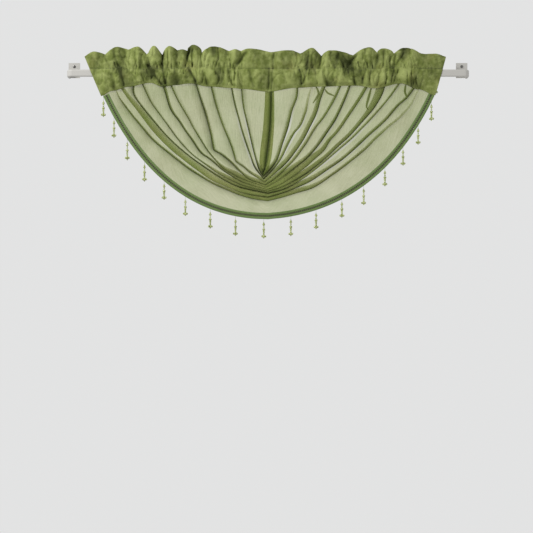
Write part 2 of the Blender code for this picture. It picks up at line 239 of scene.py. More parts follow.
def ease(share):
    share = min(max(share, 0.0), 1.0)
    return share * share * (3.0 - 2.0 * share)


def new_piece(name, shape, finish, smooth=True):
    """A finished mesh as a piece that rides on the one body."""
    data = bpy.data.meshes.new(name)
    shape.to_mesh(data)
    shape.free()
    piece = bpy.data.objects.new(name, data)
    bpy.context.collection.objects.link(piece)
    data.materials.append(finish.material)
    if smooth:
        data.shade_smooth()
    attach(piece, "root")
    print(name, len(data.vertices), "points,", len(data.polygons), "faces")
    return piece


# %% [markdown]
# ## Finishes
# Sheer voile is mostly air: about half of what is behind one layer shows through it, and three
# layers of a pleat are nearly closed. So the cloth is a mix of a clear shader and a green one,
# and the weave, the slubs and the folded edges change the share between the two. Painted shade
# also darkens the green at and beside the creases and on the layers behind.

# %% Sheer voile
CLEAR_TINT = (1.0, 1.0, 0.75, 1.0)
VOILE_COVER = 0.52


def make_voile():
    voile = Finish("sheer_voile", 0.85)
    voile.set("Sheen Weight", 0.05)
    voile.set("Specular IOR Level", 0.2)
    crease = voile.mark("crease")
    inner = voile.mark("inner")
    thin = voile.mark("thin")
    threads_along = voile.cloud(voile.place((150.0, 1500.0, 1.0), "UV"))
    threads_across = voile.cloud(voile.place((1500.0, 150.0, 1.0), "UV"))
    slubs = voile.cloud(voile.place((25.0, 420.0, 1.0), "UV"), 3.0)
    clouds = voile.cloud(voile.place((14.0, 14.0, 14.0)), 3.0)
    weave = threads_along + threads_across - 1.0
    # The threads lie a little closer together at the sides and near the heading
    place = voile.place((1.0, 1.0, 1.0))
    from_middle = voile.node("ShaderNodeSeparateXYZ", {}, {0: place}).size()
    height = voile.node("ShaderNodeSeparateXYZ", {}, {0: place}, 2)
    drift = (from_middle - 0.25) * 0.15 + (height + 0.25) * 0.25
    cover = VOILE_COVER + weave * 0.30 + (slubs - 0.5) * 0.30 + (clouds - 0.5) * 0.30
    # The crease mark thickens the cloth at folded edges and also carries painted shadow beside the creases;
    # the mark of the layers behind adds a little painted shade
    cover = (cover + drift + crease * 0.44 + inner * 0.06).clamped()
    pale = colour(124, 133, 74)
    green = colour(116, 134, 62)
    # deep is a painted shade colour for the creases, the shadow beside them and the layers behind; the slubs
    # add real tone
    deep = colour(42, 51, 9)
    painted_shade_and_slubs = crease * (crease * 0.62 + 0.38) + inner * 0.23 + (slubs - 0.5) * 0.5
    patches = voile.cloud(voile.place((9.0, 9.0, 9.0)), 2.0)
    pale = voile.blend(((patches - 0.38) * 4.0).clamped(), green, pale)
    shade = voile.blend(painted_shade_and_slubs.clamped(), pale, deep)
    voile.set("Base Color", shade)
    voile.bump(weave + slubs, 0.0004, 0.6)
    clear = voile.node("ShaderNodeBsdfTransparent", {}, {"Color": CLEAR_TINT})
    surface = Value(voile, voile.shader.outputs[0])
    cloth = voile.node("ShaderNodeMixShader", {}, {0: cover, 1: clear, 2: surface})
    nothing = voile.node("ShaderNodeBsdfTransparent", {}, {"Color": (1.0, 1.0, 1.0, 1.0)})
    whole = voile.node("ShaderNodeMixShader", {}, {0: thin, 1: cloth, 2: nothing})
    output = voile.tree.nodes["Material Output"]
    voile.feed(output.inputs["Surface"], whole)
    return voile


def make_heading_cloth():
    cloth = Finish("heading_cloth", 0.8)
    cloth.set("Sheen Weight", 0.05)
    cloth.set("Specular IOR Level", 0.2)
    painted_light = cloth.mark("painted_light")
    threads_along = cloth.cloud(cloth.place((120.0, 1300.0, 1.0), "UV"))
    threads_across = cloth.cloud(cloth.place((1300.0, 120.0, 1.0), "UV"))
    mottle = cloth.cloud(cloth.place((60.0, 60.0, 60.0)), 4.0)
    patches = cloth.cloud(cloth.place((18.0, 18.0, 18.0)), 2.0)
    weave = threads_along + threads_across - 1.0
    light_tone_and_highlight = colour(162, 172, 104)
    plain = colour(117, 129, 62)
    dark = colour(28, 36, 0)
    brown = colour(132, 118, 72)
    tone = cloth.blend(((mottle - 0.40) * 3.0 + weave * 0.5).clamped(), plain, light_tone_and_highlight)
    tone = cloth.blend(((patches - 0.56) * 3.0).clamped() * 0.5, tone, brown)
    # Painted highlight on forward crests, where the mark is below 0, and painted shade in troughs, hollows
    # and along the stitch line, where it is above 0; dark is a painted shade colour
    tone = cloth.blend((painted_light * -1.2).clamped(), tone, light_tone_and_highlight)
    tone = cloth.blend((painted_light * 0.9).clamped() * 0.85, tone, dark)
    cloth.set("Base Color", tone)
    cloth.bump(weave + mottle, 0.0006, 0.8)
    return cloth


def make_braid_yarn(name, first, second, groove=0.0):
    yarn = Finish(name, 0.75)
    place = yarn.place((1.0, 1.0, 1.0), "UV")
    ribs = yarn.node("ShaderNodeSeparateXYZ", {}, {0: place}) * 2200.0
    fuzz = yarn.cloud(yarn.place((700.0, 700.0, 700.0)), 2.0)
    tone = yarn.blend(((fuzz - 0.35) * 2.5).clamped(), first, second)
    if groove:
        # The bottom of the groove along the middle of the tape is darkened with painted shade
        off = (yarn.node("ShaderNodeSeparateXYZ", {}, {0: place}, 1) - groove).size()
        tone = yarn.blend((1.5 - off * 340.0).clamped(), tone, colour(50, 58, 30))
    yarn.set("Base Color", tone)
    yarn.bump(ribs.sine() * 0.4 + fuzz, 0.0005, 0.8)
    return yarn


def make_bead_glass():
    glass = Finish("bead_glass", 0.14)
    glass.set("Transmission Weight", 0.15)
    glass.set("IOR", 1.5)
    depth = glass.cloud(glass.place((350.0, 350.0, 350.0)), 1.0)
    tone = glass.blend(((depth - 0.40) * 5.0).clamped(), colour(146, 160, 78), colour(230, 238, 172))
    glass.set("Base Color", tone)
    return glass


def make_white_paint():
    paint = Finish("white_paint", 0.38)
    drift = paint.cloud(paint.place((9.0, 9.0, 9.0)), 3.0)
    specks = paint.cloud(paint.place((500.0, 500.0, 500.0)), 1.0)
    paint.set("Base Color", paint.blend(drift, colour(201, 199, 193), colour(193, 191, 185)))
    paint.set("Roughness", 0.32 + drift * 0.16)
    paint.bump(specks, 0.0001, 0.5)
    return paint


def make_screw_steel():
    steel = Finish("screw_steel", 0.35, 1.0)
    marks = steel.cloud(steel.place((900.0, 60.0, 900.0)), 2.0)
    steel.set("Base Color", steel.blend(marks, colour(92, 90, 88), colour(140, 138, 136)))
    steel.set("Roughness", 0.28 + marks * 0.2)
    return steel


def make_floor_paint():
    paint = Finish("floor_paint", 0.7)
    drift = paint.cloud(paint.place((0.8, 0.8, 0.8)), 2.0)
    paint.set("Base Color", paint.blend(drift, colour(232, 232, 231), colour(226, 226, 225)))
    return paint


voile = make_voile()
heading_cloth = make_heading_cloth()
braid_edge = make_braid_yarn("braid_edge", colour(90, 115, 58), colour(132, 156, 90), 0.0095)
braid_core = make_braid_yarn("braid_core", colour(84, 92, 60), colour(150, 158, 112))
bead_glass = make_bead_glass()
white_paint = make_white_paint()
screw_steel = make_screw_steel()
floor_mesh.materials.append(make_floor_paint().material)

FINISH_OF = {
    "rod": white_paint, "bracket_left": white_paint, "bracket_right": white_paint,
    "screw_left": screw_steel, "screw_right": screw_steel,
}
for node_name, finish in FINISH_OF.items():
    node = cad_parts[node_name]
    node.data.materials.clear()
    node.data.materials.append(finish.material)

# %% [markdown]
# ## The heading's outline
# The heading is one strip folded over at the top and stitched above the rod. Each gather fold is
# a row of a table: where it meets the top edge and the seam, how high the cloth stands between
# it and the next, and how peaked that stretch is: below 1 it is boxy, above 1 it is pointed.
# The sheer sheet needs the seam's height too, so this comes first.

# %% Heading table and outline
ROD_OUT = 0.042
HEADING_COLUMNS = ("top_x", "top_z", "seam_x", "seam_z", "crest_z", "crest_at", "peak")
HEADING_FOLDS = (
    (-607, 56, -551, -76, 70, 0.50, 1.0),
    (-538, 63, -512, -59, 86, 0.55, 1.0),
    (-462, 78, -460, -46, 86, 0.50, 1.0),
    (-401, 63, -389, -33, 88, 0.50, 1.3),
    (-350, 63, -347, -46, 88, 0.48, 0.9),
    (-300, 77, -302, -40, 78, 0.50, 1.0),
    (-267, 75, -257, -35, 93, 0.40, 0.4),
    (-219, 69, -200, -45, 88, 0.40, 1.0),
    (-128, 74, -122, -50, 77, 0.50, 1.0),
    (-89, 74, -86, -53, 81, 0.22, 1.2),
    (10, 70, 0, -62, 75, 0.70, 1.0),
    (106, 66, 96, -49, 82, 0.55, 1.4),
    (178, 59, 185, -45, 75, 0.25, 0.9),
    (281, 60, 290, -42, 85, 0.70, 1.0),
    (361, 69, 353, -51, 81, 0.30, 0.6),
    (416, 66, 439, -35, 84, 0.36, 1.2),
    (508, 66, 495, -54, 63, 0.50, 1.0),
    (589, 55, 552, -74, 55, 0.50, 1.0),
)
HEADING = [dict(zip(HEADING_COLUMNS, line)) for line in HEADING_FOLDS]


def seam_height(x):
    """The height of the heading's lower edge at a place along X."""
    x = x / MM
    for left, right in zip(HEADING, HEADING[1:]):
        if x <= right["seam_x"]:
            break
    share = (x - left["seam_x"]) / (right["seam_x"] - left["seam_x"])
    return mix(left["seam_z"], right["seam_z"], ease(share)) * MM


# %% [markdown]
# ## The sheer sheet
# One rectangle of voile is gathered up at the middle, so it hangs in nested U folds. Each fold
# is a pleat: the cloth comes down to its crease, turns back up behind itself, and down again
# into the next panel. That is why a dark band of three layers lies over each crease. A cloth
# simulation would give folds of its own choosing, so the fold lines are given, each by a few
# points from the heading to the middle, and a flat grid is laid along them.

# %% Fold lines
# Points of each fold line in millimetres (x, z), inner fold first
LEFT_LINES = (
    ((-89, -40), (-82, -109), (-69, -168), (-53, -234), (-40, -287), (-30, -320), (-16, -342)),
    ((-122, -43), (-109, -109), (-92, -172), (-76, -224), (-59, -271), (-43, -314), (-15, -351)),
    ((-190, -36), (-178, -86), (-165, -129), (-145, -185), (-125, -234), (-111, -277),
     (-105, -294), (-79, -312), (-53, -335), (-13, -360)),
    ((-238, -36), (-221, -92), (-205, -142), (-191, -195), (-182, -238), (-177, -255),
     (-155, -269), (-122, -297), (-92, -327), (-59, -353), (-9, -369)),
    ((-323, -36), (-297, -92), (-264, -148), (-231, -208), (-198, -257), (-155, -310),
     (-119, -333), (-76, -353), (-7, -376)),
    ((-346, -43), (-323, -116), (-290, -165), (-257, -214), (-224, -261), (-191, -285),
     (-158, -315), (-119, -342), (-76, -363), (-4, -384)),
    ((-412, -43), (-389, -92), (-356, -139), (-323, -185), (-290, -228), (-257, -264),
     (-214, -297), (-168, -330), (-119, -356), (-69, -375), (-2, -390)),
    ((-444, -43), (-441, -76), (-389, -145), (-340, -203), (-290, -251), (-241, -290),
     (-178, -333), (-116, -369), (-59, -386), (0, -398)),
    ((-490, -43), (-459, -89), (-422, -135), (-380, -191), (-330, -244), (-280, -287),
     (-231, -324), (-185, -354), (-119, -384), (-59, -401), (0, -411)),
    ((-508, -46), (-485, -92), (-436, -155), (-383, -218), (-323, -269), (-257, -321),
     (-178, -367), (-109, -398), (-46, -416), (0, -423)),
)
RIGHT_LINES = (
    ((99, -40), (96, -79), (79, -129), (66, -182), (46, -241), (30, -287), (10, -317), (-16, -342)),
    ((148, -40), (135, -82), (125, -129), (109, -172), (86, -200), (63, -244), (40, -289),
     (16, -320), (-15, -351)),
    ((191, -40), (175, -82), (155, -145), (122, -211), (89, -264), (50, -309), (16, -338),
     (-13, -360)),
    ((244, -36), (218, -92), (188, -142), (152, -191), (119, -244), (92, -282), (53, -323),
     (20, -351), (-9, -369)),
    ((274, -36), (257, -82), (231, -142), (198, -195), (165, -241), (125, -284), (89, -314),
     (46, -346), (-7, -376)),
    ((330, -43), (307, -82), (267, -142), (231, -195), (205, -224), (185, -256), (152, -285),
     (116, -317), (73, -348), (36, -370), (-4, -384)),
    ((386, -43), (376, -73), (350, -116), (320, -152), (271, -208), (231, -244), (188, -284),
     (139, -322), (89, -355), (43, -378), (-2, -390)),
    ((429, -43), (403, -79), (356, -135), (320, -175), (277, -218), (231, -257), (188, -294),
     (145, -328), (99, -360), (50, -386), (0, -398)),
    ((488, -43), (459, -82), (426, -112), (389, -155), (343, -198), (297, -241), (251, -282),
     (201, -317), (145, -355), (102, -376), (53, -396), (0, -411)),
    ((502, -46), (472, -106), (436, -147), (399, -178), (360, -214), (317, -256), (264, -299),
     (205, -343), (152, -378), (102, -394), (50, -411), (0, -423)),
)
CENTRE_LINE = ((11, -50), (9, -130), (5, -200), (-2, -260), (-8, -300), (-14, -326))
# The hem is one sweep on each side: its end, the handle's bow and sink as shares, its middle
HEM_LEFT = (-547, 0.35, 1.00)
HEM_RIGHT = (552, 0.33, 0.94)
HEM_MIDDLE = -482
HEM = len(LEFT_LINES) + 1
SEAM_TUCK = 0.008
CURVE_STEPS = 14


class Line:
    """A smooth line through given points, read by the share of its length that has passed."""

    def __init__(self, points):
        ends = [points[0] * 2 - points[1], *points, points[-1] * 2 - points[-2]]
        self.dense = [points[0]]
        for before, here, after, later in zip(ends, ends[1:], ends[2:], ends[3:]):
            for step in range(1, CURVE_STEPS + 1):
                t = step / CURVE_STEPS
                bend = (2 * before - 5 * here + 4 * after - later) * t * t
                bend += (3 * here - before - 3 * after + later) * t ** 3
                self.dense.append(here + ((after - before) * t + bend) * 0.5)
        self.passed = [0.0]
        for here, after in zip(self.dense, self.dense[1:]):
            self.passed.append(self.passed[-1] + (after - here).length)
        self.length = self.passed[-1]

    def at(self, share):
        wanted = share * self.length
        index = min(max(bisect.bisect_left(self.passed, wanted), 1), len(self.passed) - 1)
        low, high = self.passed[index - 1], self.passed[index]
        return self.dense[index - 1].lerp(self.dense[index], (wanted - low) / (high - low))


def sweep(end_x, bow, sink, middle_z):
    """Points of the hem's sweep from the heading to the middle."""
    start = Vector((end_x * MM, seam_height(end_x * MM) + SEAM_TUCK))
    middle = Vector((0.0, middle_z * MM))
    handle = Vector((start.x * (1.0 - bow), mix(start.y, middle.y, sink)))
    points = []
    for step in range(CURVE_STEPS + 1):
        t = step / CURVE_STEPS
        points.append(start * (1 - t) ** 2 + handle * 2 * t * (1 - t) + middle * t * t)
    return points


def line_of(table, hung=False):
    """A line through a table's points; a hung one starts tucked up behind the heading."""
    points = [Vector((x * MM, z * MM)) for x, z in table]
    if hung:
        first = points[0] - points[1]
        rise = seam_height(points[0].x) + SEAM_TUCK - points[0].y
        points[0] = points[0] + first * (rise / first.y)
    return Line(points)


centre = line_of(CENTRE_LINE, True)
LINES = [(centre, centre)]
for left, right in zip(LEFT_LINES, RIGHT_LINES):
    LINES.append((line_of(left, True), line_of(right, True)))
LINES.append((Line(sweep(*HEM_LEFT, HEM_MIDDLE)), Line(sweep(*HEM_RIGHT, HEM_MIDDLE))))
print("fold lines:", len(LINES), "hem length %.3f m" % sum(side.length for side in LINES[HEM]))


@functools.lru_cache(maxsize=None)
def line_point(fold, along):
    """X and Z on a fold line: along runs from 0 at the left of the heading to 1 at the right."""
    if along <= 0.5:
        return LINES[fold][0].at(2.0 * along)
    return LINES[fold][1].at(2.0 - 2.0 * along)


@functools.lru_cache(maxsize=None)
def panel_height(fold, along):
    return (line_point(fold, along) - line_point(fold - 1, along)).length


# %% Pleats
# The pleats all lie over to the left. So on the left side a painted shadow spreads outwards from
# a crease, and on the right side the folded layers show inside it. One row for each fold, inner
# to outer, and one table for each side: the pleat's width at the heading and along its run (in
# millimetres), where along its run it starts to change, how dark its crease is, how soft the
# pleat's far edge is, how strong and how wide the painted shadow outside it is, how thin the
# cloth is just outside it, and how far down its crease is still faint
PLEAT_COLUMNS = ("top", "run", "from", "dark", "soft", "painted_shadow", "spread", "thin", "late")
LEFT_PLEATS = (
    (0, 0, 0.0, 1.00, 0.0, 0.00, 4, 0.0, 0.0),
    (4, 5, 0.0, 0.85, 0.9, 0.45, 6, 0.3, 0.0),
    (4, 5, 0.0, 0.85, 0.9, 0.50, 8, 0.2, 0.0),
    (6, 5, 0.0, 0.75, 0.9, 0.60, 9, 0.0, 0.0),
    (4, 6, 0.0, 1.00, 0.9, 0.85, 12, 0.0, 0.0),
    (5, 4, 0.0, 0.70, 0.9, 0.50, 8, 0.0, 0.0),
    (8, 5, 0.0, 0.90, 0.7, 0.65, 9, 0.0, 0.0),
    (5, 4, 0.0, 0.75, 0.9, 0.55, 8, 0.0, 0.0),
    (4, 4, 0.0, 1.00, 0.9, 0.85, 12, 0.0, 0.0),
    (10, 31, 0.0, 0.25, 0.5, 0.00, 4, 0.35, 0.0),
    (3, 6, 0.0, 0.75, 0.9, 0.70, 10, 0.0, 0.1),
    (0, 0, 0.0, 0.00, 0.0, 0.00, 4, 0.0, 0.0),
)
RIGHT_PLEATS = (
    (0, 0, 0.0, 1.00, 0.0, 0.00, 4, 0.0, 0.0),
    (6, 10, 0.0, 0.80, 0.8, 0.10, 4, 0.55, 0.0),
    (5, 8, 0.0, 0.55, 0.9, 0.30, 7, 0.4, 0.4),
    (11, 14, 0.0, 0.90, 0.6, 0.10, 4, 0.8, 0.0),
    (8, 9, 0.0, 0.65, 0.8, 0.30, 7, 0.0, 0.0),
    (7, 9, 0.0, 1.00, 0.8, 0.45, 8, 0.2, 0.0),
    (9, 27, 0.42, 0.60, 0.4, 0.25, 6, 0.0, 0.0),
    (27, 13, 0.0, 0.95, 0.4, 0.00, 4, 0.8, 0.0),
    (8, 14, 0.0, 0.75, 0.8, 0.20, 5, 0.3, 0.0),
    (6, 9, 0.0, 0.95, 0.9, 0.45, 8, 0.2, 0.0),
    (4, 8, 0.0, 0.70, 0.9, 0.40, 8, 0.0, 0.6),
    (0, 0, 0.0, 0.00, 0.0, 0.00, 4, 0.0, 0.0),
)
# How far each fold stands forward at the middle, in millimetres
BELLY = (6, 10, 11, 12, 13, 14, 15, 16, 17, 17, 16, 12)
# How dark each crease still is where the folds are gathered together at the middle
MIDDLE_DARK = (1.0, 1.5, 1.6, 0.7, 0.7, 0.15, 0.15, 0.5, 1.4, 1.0, 0.7, 0.0)
GATHER_FROM = (0.8, 0.8, 0.8, 0.8, 0.75, 0.6, 0.55, 0.55, 0.55, 0.6, 0.64, 2.0)
GATHER_OVER = 0.3
LAYER_GAP = 0.0022
MOST_PLEAT_SHARE = 0.94
PLEAT_SPREAD = 0.30


def side_share(along):
    """The share of the way from the heading to the middle."""
    return 2.0 * min(along, 1.0 - along)


LEFT = [dict(zip(PLEAT_COLUMNS, line)) for line in LEFT_PLEATS]
RIGHT = [dict(zip(PLEAT_COLUMNS, line)) for line in RIGHT_PLEATS]
SIDE_BLEND = 0.05


@functools.lru_cache(maxsize=None)
def pleat(fold, name, along):
    """A column of the pleat tables; the two sides blend into each other near the middle."""
    right = ease((along - 0.5 + SIDE_BLEND) / (2.0 * SIDE_BLEND))
    return mix(LEFT[fold][name], RIGHT[fold][name], right)


def crease_depth(fold, along):
    """How far forward a crease stands: Y of its front layer."""
    lift = max(math.sin(math.pi * along), 0.0) ** 1.5
    return -ROD_OUT - LAYER_GAP - BELLY[fold] * MM * lift


def gathered(fold, along):
    """From 0 to 1: how fully the pleats lie over each other on the way to the middle."""
    return ease((side_share(along) - GATHER_FROM[fold]) / GATHER_OVER)


@functools.lru_cache(maxsize=None)
def pleat_share(fold, along):
    """The share of a fold's panel that its pleat covers."""
    share = ease((side_share(along) - pleat(fold, "from", along)) / PLEAT_SPREAD)
    wide = mix(pleat(fold, "top", along), pleat(fold, "run", along), share)
    part = min(wide * MM / panel_height(fold, along), MOST_PLEAT_SHARE)
    return mix(part, MOST_PLEAT_SHARE, gathered(fold, along))


def shown(fold, along):
    """From 0 near the heading, where a late crease is still faint, to 1 farther down."""
    return ease((side_share(along) + 0.02) / (pleat(fold, "late", along) + 0.02))


def crease_dark(fold, along):
    grain = 1.0 + 0.35 * noise.noise(Vector((along * 9.0, fold * 3.7, 2.2)))
    middle = ease((side_share(along) - 0.75) / 0.2)
    return mix(pleat(fold, "dark", along), MIDDLE_DARK[fold], middle) * grain * shown(fold, along)


# %% [markdown]
# ### Rows of the sheet
# The sheet is a grid. Its columns run along the folds, and its rows cross them, from the centre
# pleat out to the hem. Each row says which panel it is in, how far across it, on which of the
# three layers, how much of a folded edge it is, and how much painted shade it gets as a layer
# behind. The finish reads the folded edge to thicken the cloth there and to darken it with
# painted shade.

# %% Rows
EDGE_WIDTH = 0.0034
CREASE_FADE = 0.0052
# BAND_SHADE is painted shade over the three layers of a pleat's band
BAND_SHADE = 0.22
BAND_GAIN = 1.6
MOST_FAINT = 0.75
# Share of the way to the middle from which the centre pleat gets painted shade for the hollow of the knot
KNOT_SHADE_FROM = 0.93
# Rows just outside a crease, in millimetres from it
OUTSIDE = (0.8, 2.5, 5.0, 8.5, 13.0, 19.0)
THIN_WIDTH = 6.0
FRONT_ROWS = 5
BAND_ROWS = 3
BACK_ROWS = 3
TURN_STEPS = 4
HEM_ROWS = 16
HEM_FLAT_SHARE = 0.55
# Width of the centre pleat's two halves, at the heading and at the knot
CENTRE_LEFT_BAND = (0.019, 0.026)
CENTRE_RIGHT_BAND = (0.008, 0.017)
CENTRE_EDGE = 0.0004
CENTRE_CORE = 0.0062


class Row:
    """One row of the grid. A share is a number, or a function of the place along the fold."""

    def __init__(self, fold, share, layer=0.0, beyond=0.0, crease=0.0, inner=0.0, fade=0.0):
        self.fold = fold
        self.share = share
        self.layer = layer
        self.beyond = beyond
        self.crease = crease
        self.inner = inner
        self.fade = fade
        self.outside = None

    def share_at(self, along):
        return self.share(along) if callable(self.share) else self.share


def turn_rows(fold, share, first_layer, last_layer, way, crease):
    """A half circle of rows that leads from one layer to the next round a folded edge."""
    rows = []
    for step in range(1, TURN_STEPS):
        turn = math.pi * step / TURN_STEPS
        layer = mix(first_layer, last_layer, 0.5 - 0.5 * math.cos(turn))
        beyond = way * 0.5 * LAYER_GAP * math.sin(turn)
        rows.append(Row(fold, share, layer, beyond, crease, 0.3, 1.0 if way < 0.0 else 0.0))
    return rows


def centre_band(along):
    """The share of the first panel that each half of the centre pleat covers."""
    wide = CENTRE_LEFT_BAND if along <= 0.5 else CENTRE_RIGHT_BAND
    return min(mix(*wide, side_share(along)) / panel_height(1, along), 0.7)


def across_centre(metres):
    """A share that is a real distance from the centre line."""
    return lambda along: min(metres / panel_height(1, along), centre_band(along) * 0.5)


def part_of_centre(part):
    return lambda along: centre_band(along) * part


def centre_rows():
    # The dark core of the centre pleat: denser cloth at its fold, and painted shade
    rows = [Row(1, 0.0, 2.0, crease=1.0, inner=1.0)]
    rows.append(Row(1, part_of_centre(0.5), 2.0, crease=0.1, inner=0.4))
    rows.append(Row(1, centre_band, 2.0, inner=0.4))
    rows += turn_rows(1, centre_band, 2.0, 1.0, 1.0, 0.4)
    rows.append(Row(1, centre_band, 1.0, inner=0.4))
    rows.append(Row(1, part_of_centre(0.55), 1.0, inner=0.4))
    rows.append(Row(1, across_centre(CENTRE_CORE), 1.0, crease=0.55, inner=0.4))
    rows.append(Row(1, across_centre(CENTRE_EDGE), 1.0, crease=0.9, inner=0.8))
    rows.append(Row(1, across_centre(CENTRE_EDGE), 0.0, crease=0.9))
    rows.append(Row(1, across_centre(CENTRE_CORE), 0.0, crease=0.55))
    rows.append(Row(1, part_of_centre(0.55), 0.0, crease=0.1))
    rows.append(Row(1, centre_band, 0.0))
    return rows


def panel_rows(fold):
    """The front of a panel, then its pleat: back up behind the front and down again."""
    def top(along):
        return 1.0 - pleat_share(fold, along)

    def start(along):
        return centre_band(along) if fold == 1 else 0.0

    def edge(along):
        near = 1.0 - EDGE_WIDTH / panel_height(fold, along)
        return max(near, mix(top(along), 1.0, 0.5))

    def outside(along, steps):
        """A share that is a real distance from the crease above, kept clear of the pleat."""
        most = top(along) * 0.9 * steps / OUTSIDE[-1]
        return min(steps * MM / panel_height(fold, along), most)

    rows = []
    if fold > 1:
        for steps in OUTSIDE:
            rows.append(Row(fold, lambda a, d=steps: outside(a, d)))
            rows[-1].outside = steps
        start = rows[-1].share
    for step in range(1, FRONT_ROWS + 1):
        passed = step / FRONT_ROWS
        rows.append(Row(fold, lambda a, p=passed: mix(start(a), top(a), p)))
    rows[-1].crease = 1.0
    for step in range(1, BAND_ROWS):
        rows.append(Row(fold, lambda a, p=step / BAND_ROWS: mix(top(a), edge(a), p), crease=1.0))
    rows.append(Row(fold, edge, crease=1.0))
    rows.append(Row(fold, 1.0, crease=1.0))
    rows += turn_rows(fold, 1.0, 0.0, 1.0, 1.0, 1.0)
    rows.append(Row(fold, 1.0, 1.0, crease=0.9, inner=0.5))
    rows.append(Row(fold, edge, 1.0, inner=0.6))
    for step in range(1, BACK_ROWS):
        passed = step / BACK_ROWS
        inside = lambda a, p=passed: mix(edge(a), top(a), p)
        rows.append(Row(fold, inside, 1.0, inner=0.6, fade=passed))
    rows.append(Row(fold, top, 1.0, crease=0.15, inner=0.5, fade=1.0))
    rows += turn_rows(fold, top, 1.0, 2.0, -1.0, 0.15)
    rows.append(Row(fold, top, 2.0, crease=0.15, inner=0.8, fade=1.0))
    for step in range(1, BACK_ROWS):
        passed = step / BACK_ROWS
        inside = lambda a, p=passed: mix(top(a), edge(a), p)
        rows.append(Row(fold, inside, 2.0, inner=0.8, fade=1.0 - passed))
    rows.append(Row(fold, edge, 2.0, inner=0.8))
    rows.append(Row(fold, 1.0, 2.0, crease=0.5, inner=0.5))
    return rows


def sheet_rows():
    rows = centre_rows()
    for fold in range(1, HEM):
        rows += panel_rows(fold)
    for steps in OUTSIDE:
        rows.append(Row(HEM, lambda a, d=steps: d * MM / max(panel_height(HEM, a), 0.03)))
        rows[-1].outside = steps
    last = rows[-1].share
    for step in range(1, HEM_ROWS + 1):
        rows.append(Row(HEM, lambda a, p=step / HEM_ROWS: mix(last(a), 1.0, p)))
    return rows


def paint(row, along, centre_row):
    """How much folded edge and painted shade the cloth has at a place, and how thin it is, each from 0 to 1.
    """
    # Near the knot the centre pleat turns to painted shade
    if centre_row:
        return max(row.crease, ease((side_share(along) - KNOT_SHADE_FROM) / 0.03)), 0.0
    if row.outside is None:
        off = (1.0 - row.share_at(along)) * panel_height(row.fold, along)
        line_dark = math.exp(-off / CREASE_FADE) * crease_dark(row.fold, along)
        here = shown(row.fold, along)
        soft = row.fade * pleat(row.fold, "soft", along) * (1.0 - gathered(row.fold, along))
        faint = MOST_FAINT * (1.0 - here) if row.layer > 0.0 else 0.0
        band_dark = here * min(pleat(row.fold, "dark", along) * BAND_GAIN, 1.0)
        return row.crease * mix(line_dark, band_dark, BAND_SHADE), max(soft, faint)
    above = row.fold - 1
    # Rows just outside a crease get the painted shadow beside it
    fall = math.exp(-row.outside / pleat(above, "spread", along))
    shadow = pleat(above, "painted_shadow", along) * fall
    thin = pleat(above, "thin", along) * (1.0 if row.outside < THIN_WIDTH else 0.0)
    thin *= ease((side_share(along) - 0.18) * 3.2) * (1.0 - ease((side_share(along) - 0.85) / 0.10))
    return shadow * shown(above, along), thin


# %% Depth of the sheet
ROUND_OUT_SHARE = 0.10
MOST_ROUND_OUT = 0.006
WAVE_DEPTH = 0.0012
UNEVEN = 0.0016
UNEVEN_SCALE = 16.0


def sheet_depth(row, share, along):
    """Y of the sheet: a panel runs forward from behind the fold above it to its own crease."""
    lift = max(math.sin(math.pi * along), 0.0)
    end = crease_depth(row.fold, along)
    start = crease_depth(row.fold - 1, along)
    if row.fold > 1:
        start += 2.0 * LAYER_GAP
    passed = min(share / HEM_FLAT_SHARE, 1.0) if row.fold == HEM else share
    level = mix(start, end, passed) + row.layer * LAYER_GAP
    wave = noise.noise(Vector((along * 5.0, (row.fold + share) * 2.1, 8.3)))
    level += WAVE_DEPTH * wave * ease(lift * 4.0)
    if row.fold < HEM:
        round_out = min(ROUND_OUT_SHARE * panel_height(row.fold, along), MOST_ROUND_OUT)
        level -= round_out * lift * math.sin(math.pi * min(share, 1.0))
    return level


def sheet_point(row, along):
    share = row.share_at(along)
    near = line_point(row.fold - 1, along)
    far = line_point(row.fold, along)
    flat = near.lerp(far, share)
    if row.beyond:
        flat = flat + (far - near).normalized() * row.beyond
    spread = ease(side_share(along) * 5.0) * ease((HEM - row.fold + 1.0 - share) * 2.0)
    drift = noise.noise_vector(Vector((flat.x * UNEVEN_SCALE, flat.y * UNEVEN_SCALE, 3.7)))
    drift = drift * UNEVEN * spread
    return Vector((flat.x + drift.x, sheet_depth(row, share, along), flat.y + drift.z))


# %% Lay the grid along the folds
STEPS_A_SIDE = 84


def cloth_metres(places, columns, lines):
    """Where each point lies on the flat cloth: metres along the folds and metres across them."""
    metres = {}
    middle = columns // 2
    for line in range(lines):
        for side in (range(middle, columns), range(middle, -1, -1)):
            run = 0.0
            last = None
            for column in side:
                vert = places[column, line]
                if last is not None:
                    run += (vert.co - last.co).length
                metres[vert] = [run if column >= middle else -run, 0.0]
                last = vert
    for column in range(columns):
        run = 0.0
        for line in range(lines):
            vert = places[column, line]
            if line:
                run += (vert.co - places[column, line - 1].co).length
            metres[vert][1] = run
    return metres


